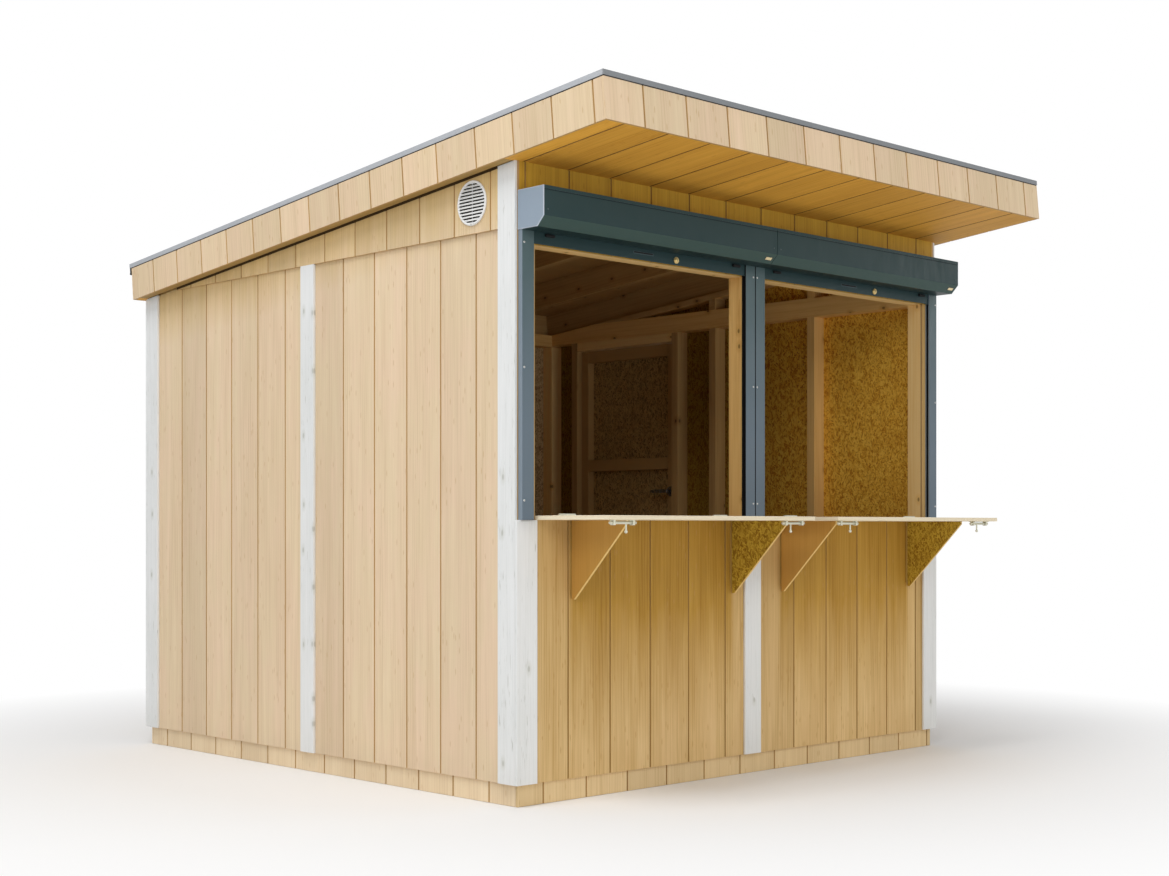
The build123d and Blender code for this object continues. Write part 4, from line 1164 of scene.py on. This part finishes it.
def vent():
    """Round grille of tilted slats in a ring, on a bar, with a black disc behind as painted shade."""
    part = Shape("vent_grille", [vent_white, black, steel, recess])
    outer = (vent_high.z - vent_low.z) / 2
    inner = VENT_GRILLE / 2
    back = vent_low.x - vent_high.x
    front = -0.0014
    part.lathe([(outer, back), (outer, -0.004), (outer - 0.0012, -0.0022), (outer - 0.003, front),
                (inner + 0.002, front), (inner, -0.003), (inner, back), (outer, back)],
               vent_place, segments=72)
    # Painted shade: a black disc behind the slats stands for the dark of the hole
    part.lathe([(0, back), (inner + 0.001, back)], vent_place, segments=48, skin=1)
    slots, tuck, thick, deep = 12, 0.003, 0.0012, 0.0045
    pitch = 2 * inner / slots
    tilt = Matrix.Rotation(radians(50), 4, "X")
    for step in range(slots + 1):
        rise = (step - slots / 2) * pitch
        half = sqrt(max(inner ** 2 - (abs(rise) - tuck) ** 2, 0.0))
        place = vent_place @ Matrix.Translation((0, rise, back / 2)) @ tilt
        part.block((-half, -thick, -deep), (half, thick, deep), place, ease=0.0005)
    bar = 0.0014
    part.block((-bar, -inner, back + 0.0002), (bar, inner, back + 0.002), vent_place, ease=0.0005)
    part.screw(vent_place @ Matrix.Translation((0, -(outer + inner) / 2, front)), 0.0034, 2, 3)
    part.finish("hut", "vent_white", "gable_vent")


walls()
gables()
skirt()
fascia()
soffit()
boards()
roof_skin()
shutters()
shutter_fittings()
counters()
hinges()
door()
vent()


def direct_rays(tree):
    """One for what the camera, gloss and glass see, and nothing for the light on the object."""
    path = add(tree, "LightPath")
    direct = compute(tree, "MAXIMUM", path.outputs["Is Camera Ray"], path.outputs["Is Transmission Ray"])
    return compute(tree, "MAXIMUM", direct, path.outputs["Is Glossy Ray"])


def stage_floor():
    """A pale floor that takes the object's shadow and fades to white away from it."""
    material, tree, shader = new_material("stage_floor")
    feed(tree, shader, {"Base Color": (0.86, 0.86, 0.86, 1.0), "Roughness": 0.9})
    away = add(tree, "VectorMath", {0: place_of(tree)}, operation="LENGTH").outputs["Value"]
    glow = add(tree, "Emission", {"Color": (1, 1, 1, 1), "Strength": 1.0}).outputs[0]
    start, end = 1.8, 3.8
    share = times(tree, fade(tree, away, start, end), direct_rays(tree))
    blend = add(tree, "MixShader", {0: share, 1: shader.outputs[0], 2: glow}).outputs[0]
    tree.links.new(blend, tree.nodes["Material Output"].inputs["Surface"])
    mesh = bpy.data.meshes.new("stage_floor")
    reach, level = 40.0, -0.001
    corners = [(x * reach, y * reach, level) for x, y in ((-1, -1), (1, -1), (1, 1), (-1, 1))]
    mesh.from_pydata(corners, [], [(0, 1, 2, 3)])
    mesh.materials.append(material)
    floor = new_object("stage_floor", mesh)


def sky(strength):
    """Even light from all round, on a white ground for what the camera and gloss see."""
    world = bpy.data.worlds.new("studio")
    world.use_nodes = True
    tree = world.node_tree
    level = fade(tree, direct_rays(tree), 0.0, 1.0, strength, 1.0)
    feed(tree, tree.nodes["Background"], {"Strength": level, "Color": (1, 1, 1, 1)})
    bpy.context.scene.world = world


def lamp(name, location, target, size, power, colour=(1, 1, 1)):
    data = bpy.data.lights.new(name, "AREA")
    data.shape = "DISK"
    data.size = size
    data.energy = power
    data.color = colour
    made = new_object(name, data)
    made.location = location
    made.rotation_mode = "QUATERNION"
    made.rotation_quaternion = (Vector(target) - Vector(location)).to_track_quat("-Z", "Y")


def camera():
    """The view of the photo, solved from the hut's straight edges."""
    data = bpy.data.cameras.new("camera")
    data.sensor_width = 36.0
    data.lens = 53.04
    data.shift_x = -0.0829
    data.shift_y = 0.0765
    made = new_object("camera", data)
    made.location = (-5.0257, -5.8219, 0.9643)
    made.rotation_euler = (pi / 2, 0, -0.7945)
    bpy.context.scene.camera = made


stage_floor()
sky(0.5)
lamp("key", (-5.0, -2.0, 9.5), (-0.5, 0, 1.2), 4.5, 430.0)
lamp("side", (-6.5, -6.0, 4.6), (0, -0.5, 1.2), 3.0, 130.0)
lamp("front_low", (0.5, -6.5, 0.5), (0, -1.2, 2.1), 3.0, 45.0, (1.0, 0.95, 0.88))
lamp("right", (5.5, -4.5, 2.8), (1.0, -1.4, 2.0), 1.6, 25.0)
camera()
bpy.context.scene.view_settings.view_transform = "Standard"
